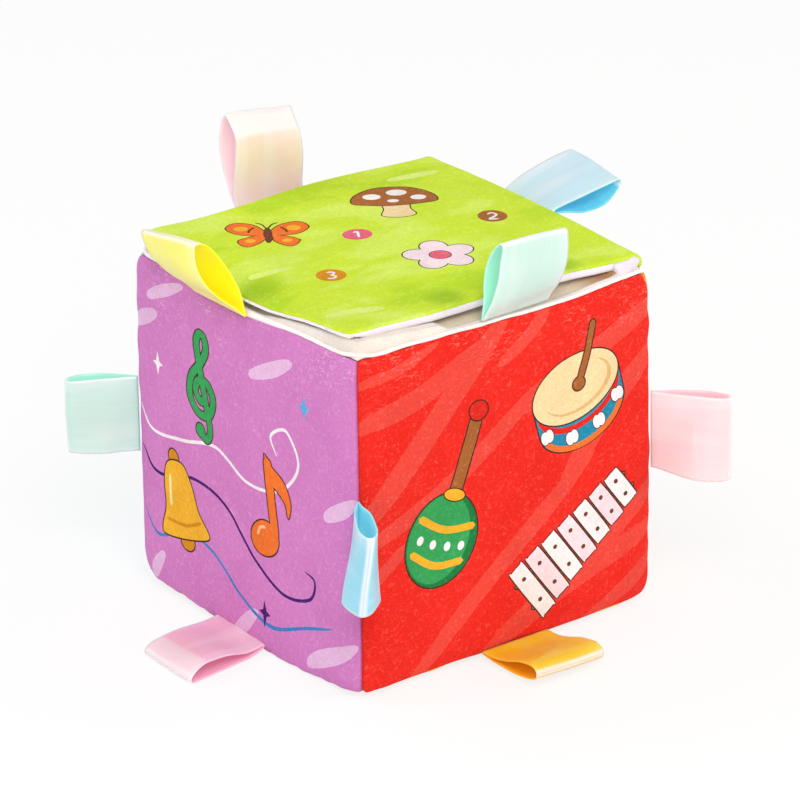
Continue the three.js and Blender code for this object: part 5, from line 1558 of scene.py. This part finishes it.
# Where it has them: how far its middle or its height is off, its angle when raised, and how
# much either selvedge leans
loops = {
    "top_left": {
        "seam": "left", "root": sideRoot, "middle": -8.4, "raised": 76, "slant": (-0.95, -0.75),
        "satin": "yellow",
        "near": [(0, -0.3), (6, -1.6), (12, -1.9), (16, -0.4), (17.6, 2.2), (17.7, 3.3), (16.7, 4.3),
                 (12.3, 5.6), (7.1, 4.3), (3, 1.7), (0, 0.3)],
        "far": [(0, -0.3), (3, -1.6), (6.7, -2.9), (13, -3.3), (18.2, -2.3), (20.4, -0.3),
                (20.9, 1.2), (20.2, 2.8), (16.2, 5.4), (11.6, 5.9), (7.4, 4.5), (3, 1.7), (0, 0.3)]},
    "top_front": {
        "seam": "front", "root": pipedRoot, "middle": 3, "raised": 69, "satin": "mint",
        "near": [(0, 0.2), (6.6, -1.0), (12.7, -3.1), (19.1, -3.9), (24.6, -2.9), (28.6, -1.1),
                 (29.3, -0.1), (28.3, 0.9), (23.5, 1.6), (17.5, 2.8), (10.5, 2.8), (4, 1.8), (0, 0.9)],
        "far": [(0, 0.1), (6, -0.6), (13, -2.2), (19.5, -2.9), (24.4, -2.4), (27, -1.2), (27.4, -0.4),
                (26.6, 1.0), (21.8, 2.8), (15.9, 3.7), (7.7, 2.8), (3, 1.3), (0, 0.7)]},
    "top_back": {
        "seam": "back", "root": pipedRoot, "middle": 3, "raised": 78, "satin": "peach",
        "near": [(0, 0.4), (3.7, 0.2), (9, -1.4), (14.1, -2.7), (18.9, -2.8), (24.1, -1.0),
                 (27.4, 0.1), (28.0, 1.1), (27.0, 2.4), (21, 4.4), (13, 4.4), (6, 2.6), (0, 1.0)],
        "far": [(0, 0.8), (4, 1.4), (8.9, 0.6), (17.1, -2.6), (24.2, -4.2), (29.3, -2.2), (31.2, -0.6),
                (30.8, 0.6), (26.6, 3.5), (21.1, 5.4), (13.2, 5.3), (6, 3.6), (0, 1.4)]},
    "top_right": {
        "seam": "right", "root": hingeRoot, "middle": 7, "raised": 20, "slant": (-0.19, -0.19),
        "satin": "blue",
        "near": [(0, -0.4), (3.1, -3.2), (7, -3.3), (12.9, -2.7), (20.3, -2.0), (25.6, -1.6),
                 (26.5, -0.7), (25.9, 0.6), (22.5, 2.9), (18.3, 4.2), (11.9, 2.9), (6, -0.6),
                 (2.9, -1.6), (0, 0.2)],
        "far": [(0, -0.4), (2.8, -2.3), (7.4, -3.5), (12.4, -4.3), (20.3, -4.1), (26.8, -3.4),
                (28.0, -2.4), (27.2, -1.0), (20, 1.9), (12, 1.6), (6, -0.6), (2.9, -1.4), (0, 0.2)]},
    "bottom_left": {
        "seam": "left", "root": floorRoot, "middle": -2.5, "raised": 5, "slant": (0.13, 0.13),
        "satin": "rose",
        "near": [(0, -0.3), (5.4, 0.2), (13, 0.3), (22, 0.5), (27.6, 1.4), (30.3, 2.9), (30.8, 4.3),
                 (29.6, 5.3), (26.5, 5.3), (18, 4.5), (8.7, 3.4), (3, 2.0), (0, 0.4)],
        "far": [(0, -0.2), (2.9, 0.6), (8.6, 0.9), (15.3, 0.0), (20.2, -0.3), (26.2, -0.1), (30.1, 1.9),
                (31.8, 4.1), (31.1, 5.3), (27.3, 5.3), (18.5, 4.5), (8.7, 3.4), (3, 2.0), (0, 0.5)]},
    "bottom_front": {
        "seam": "front", "root": floorRoot, "middle": 1.8, "raised": 5, "satin": "gold",
        "near": [(0, -0.2), (4, 0.2), (9.2, -0.2), (18.1, -2.1), (23.4, -2.6), (26.0, -1.6),
                 (26.6, 0.2), (25.4, 1.7), (21, 2.6), (14, 2.5), (7, 1.9), (0, 0.6)],
        "far": [(0, -0.2), (5.8, 0.2), (12, -1.1), (18.2, -2.6), (24, -2.7), (27, -1.2), (27.6, 0.5),
                (25.5, 2.3), (20, 3.0), (13, 2.8), (6, 1.9), (0, 0.6)]},
    "bottom_right": {
        "seam": "right", "root": floorRoot, "raised": 5, "satin": "mint",
        "near": [(0, -0.2), (6, -0.6), (13, -1.9), (20, -2.5), (26, -1.3), (28.6, 1.0), (28.2, 2.6),
                 (25, 3.6), (17, 3.9), (8, 2.7), (0, 0.5)],
        "far": [(0, -0.2), (6, 0.2), (13, -0.9), (20, -1.5), (26, -0.6), (28.9, 1.8), (28.4, 3.2),
                (25, 4.4), (17, 4.2), (8, 2.9), (0, 0.5)]},
    "bottom_back": {
        "seam": "back", "root": floorRoot, "raised": 5, "satin": "blue",
        "near": [(0, -0.2), (6, 0.1), (13, -1.4), (20, -2.3), (26, -1.6), (28.8, 0.6), (28.2, 2.4),
                 (25, 3.6), (17, 3.9), (8, 2.7), (0, 0.5)],
        "far": [(0, -0.2), (6, -0.5), (13, -1.2), (20, -1.2), (26, 0.2), (28.7, 2.2), (28.1, 3.5),
                (25, 4.4), (17, 4.2), (8, 2.9), (0, 0.5)]},
    "front_left": {
        "corner": ("front", "left"), "height": -3, "satin": "aqua",
        "near": [(0, -0.3), (5.4, -2.2), (11, -2.9), (17.2, -3.0), (23.1, 0.2), (26.4, 3.4),
                 (26.5, 5.0), (23.8, 6.8), (16.1, 8.4), (11, 7.2), (4.7, 4.0), (0, 0.3)],
        "far": [(0, -0.3), (6, -0.2), (12.9, 0.9), (18, 1.9), (21.9, 3.4), (24.7, 5.5), (25.2, 6.8),
                (24.3, 8.0), (21, 8.5), (17.1, 8.0), (8.2, 5.0), (3, 1.6), (0, 0.3)]},
    "back_left": {
        "corner": ("back", "left"), "height": -0.8, "satin": "mint",
        "near": [(0, -1.6), (6, -2.2), (13, -2.4), (18, -1.4), (21.0, 0.2), (21.8, 1.5), (21.2, 2.6),
                 (16, 3.2), (10.1, 2.5), (5, 0.4), (0, -0.9)],
        "far": [(0, -1.2), (5, -1.9), (12, -2.3), (17.4, -0.9), (20.9, 1.6), (21.9, 3.2), (21.3, 4.6),
                (18.7, 5.2), (11.5, 2.7), (5, 0.9), (0, -0.4)]},
    "front_right": {
        "corner": ("front", "right"), "height": 1.3, "slant": (-0.057, -0.057), "satin": "pink",
        "near": [(0, -0.3), (4, -2.3), (9.1, -5.3), (13, -7.1), (17, -7.7), (22.4, -6.6), (24.4, -4.0),
                 (24.3, -1.8), (21, 0.9), (14, 2.2), (6, 1.6), (0, 0.3)],
        "far": [(0, -0.3), (4, -0.4), (7.7, -0.7), (15.1, -1.2), (21.0, -0.9), (23.8, 0.3), (24.3, 1.6),
                (23, 3.0), (17, 4.0), (9, 3.0), (4, 1.3), (0, 0.3)]},
    "back_right": {
        "corner": ("back", "right"), "height": 0, "satin": "yellow",
        "near": [(0, -0.3), (5, -1.6), (12, -3.6), (18, -4.4), (24, -2.6), (26.6, 0.2), (26.0, 2.2),
                 (21, 3.9), (13, 3.6), (5, 1.6), (0, 0.3)],
        "far": [(0, -0.3), (5, -0.8), (12, -1.6), (19, -1.4), (24.5, 0.2), (26.8, 2.4), (25.8, 4.2),
                (20, 5.4), (12, 4.4), (5, 1.9), (0, 0.3)]},
}


# Where a loop is sewn on, and its ways: out from the seam, across the open loop, along the seam
def loopFrame(spec):
    if "corner" in spec:
        out = Vector(sideWays[spec["corner"][0]]) + Vector(sideWays[spec["corner"][1]])
        out.normalize()
        root = out * (block["seamHalf"] * math.sqrt(2) + ribbon["cornerOut"])
        root.z = block["middle"] + spec.get("height", 0)
        along = Vector((0, 0, 1))
        return root, out, along.cross(out), along
    outward = Vector(sideWays[spec["seam"]])
    angle = math.radians(spec["raised"])
    out = outward * math.cos(angle) + Vector((0, 0, 1)) * math.sin(angle)
    along = Vector((0, 0, 1)).cross(outward)
    root = outward * spec["root"]["outset"] + along * spec.get("middle", 0)
    root.z = spec["root"]["level"]
    return root, out, along.cross(out), along


# The band between the two profiles bows a little in its middle and ripples away from its seam
def loopBand(spec, seed):
    root, out, across, along = (np.array(way) for way in loopFrame(spec))
    near, nearLength = throughPoints(spec["near"], ribbon["around"])
    far, farLength = throughPoints(spec["far"], ribbon["around"])
    reach = max(near[:, 0].max(), far[:, 0].max())
    w = np.linspace(-0.5, 0.5, ribbon["across"])
    share = ((smoothRamp(w, -0.5, 0.5) + w + 0.5) / 2)[None, :, None]
    flat = near[:, None] * (1 - share) + far[:, None] * share
    s, t = flat[..., 0], flat[..., 1]
    wide = np.broadcast_to(w * ribbon["width"], s.shape)
    bow = ribbon["bow"] * (1 - 4 * w ** 2) * np.clip(s / reach, 0, 1)
    ripple = waveSum(np.stack([s, t * 2, wide], -1), (11, 16, 23), seed)
    t = t + ribbon["ripple"] * ripple * np.clip(s / ribbon["rippleFrom"], 0, 1)
    s = s + bow
    nearSlant, farSlant = spec.get("slant", (0, 0))
    lean = s * (nearSlant + (farSlant - nearSlant) * (w + 0.5))
    points = root + s[..., None] * out + t[..., None] * across + (wide + lean)[..., None] * along
    points[..., 2] = np.maximum(points[..., 2], ribbon["floorGap"] + ribbon["thick"])
    length = (nearLength + farLength) / 2
    around = np.linspace(-length / 2, length / 2, ribbon["around"])
    uv = np.stack(np.meshgrid(w * ribbon["width"], around), -1)
    return points[:, ::-1], uv[:, ::-1], length


def addLoop(name, spec, seed):
    outer, uv, length = loopBand(spec, seed)
    inner = outer - gridNormals(outer) * ribbon["thick"]
    piece = clothFromGrid(f"loop_{name}_satin", outer, inner, satins[spec["satin"]], uv)
    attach(piece, f"loop_{name}")
    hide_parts(f"ribbon_{name}")


for seed, (name, spec) in enumerate(loops.items()):
    addLoop(name, spec, 70 + seed)
print("satin loops made")


# Floor, lamps and world: plain soft studio light from the upper front left
studio = {"floor": 6.0, "floorTint": "#FAFAFA", "rough": 0.9, "lift": 0.8, "aim": 0.06, "world": 0.55}
lamps = {
    "key": {"place": (-0.55, -1.1, 1.25), "size": 0.9, "power": 15, "tint": "#FFF9F2"},
    "fill": {"place": (1.2, -1.0, 0.7), "size": 1.2, "power": 7, "tint": "#FFFDFB"},
    "rim": {"place": (-0.9, 0.9, 1.1), "size": 0.9, "power": 6, "tint": "#F6FAFF"},
    "line": {"place": (-1.41, -0.75, 0.12), "size": 0.14, "power": 1.6, "tint": "#FFFFFF"},
}


# Seen by the camera or in a gloss, the paper is lifted towards white
def addFloor():
    half = studio["floor"] / 2
    corners = [(-half, -half, 0), (half, -half, 0), (half, half, 0), (-half, half, 0)]
    mesh = bpy.data.meshes.new("floor")
    mesh.from_pydata(corners, [], [(0, 1, 2, 3)])
    floor = bpy.data.objects.new("floor", mesh)
    scene.collection.objects.link(floor)
    material, tree = newMaterial("matt paper floor")
    paper = addNode(tree, "ShaderNodeBsdfPrincipled", {
        "Base Color": linear(studio["floorTint"]), "Roughness": studio["rough"]})
    path = addNode(tree, "ShaderNodeLightPath").outputs
    seen = addNode(tree, "ShaderNodeMath", {0: path["Is Camera Ray"], 1: path["Is Glossy Ray"]},
                   operation="MAXIMUM")
    share = addNode(tree, "ShaderNodeMath", {0: seen, 1: studio["lift"]}, operation="MULTIPLY")
    glow = addNode(tree, "ShaderNodeEmission", {"Color": (1, 1, 1, 1), "Strength": 1.0})
    blend = addNode(tree, "ShaderNodeMixShader", {0: share, 1: paper, 2: glow})
    addNode(tree, "ShaderNodeOutputMaterial", {"Surface": blend})
    mesh.materials.append(material)


def addLamps():
    for name, lamp in lamps.items():
        data = bpy.data.lights.new(name, "AREA")
        data.shape = "DISK"
        data.size = lamp["size"]
        data.energy = lamp["power"]
        data.color = linear(lamp["tint"])[:3]
        item = bpy.data.objects.new(name, data)
        place = Vector(lamp["place"])
        item.location = place
        item.rotation_euler = (place - Vector((0, 0, studio["aim"]))).to_track_quat("Z", "Y").to_euler()
        scene.collection.objects.link(item)


# The world is dimmer as light than it is behind the piece or through it
def addWorld():
    world = bpy.data.worlds.new("studio")
    scene.world = world
    world.use_nodes = True
    tree = world.node_tree
    tree.nodes.clear()
    path = addNode(tree, "ShaderNodeLightPath").outputs
    seen = addNode(tree, "ShaderNodeMath", {0: path["Is Camera Ray"], 1: path["Is Transmission Ray"]},
                   operation="MAXIMUM")
    strength = addNode(tree, "ShaderNodeMapRange", {"Value": seen, "To Min": studio["world"], "To Max": 1})
    sky = addNode(tree, "ShaderNodeBackground", {"Color": (1, 1, 1, 1), "Strength": strength})
    addNode(tree, "ShaderNodeOutputWorld", {"Surface": sky})


addFloor()
addLamps()
addWorld()
print("studio made")
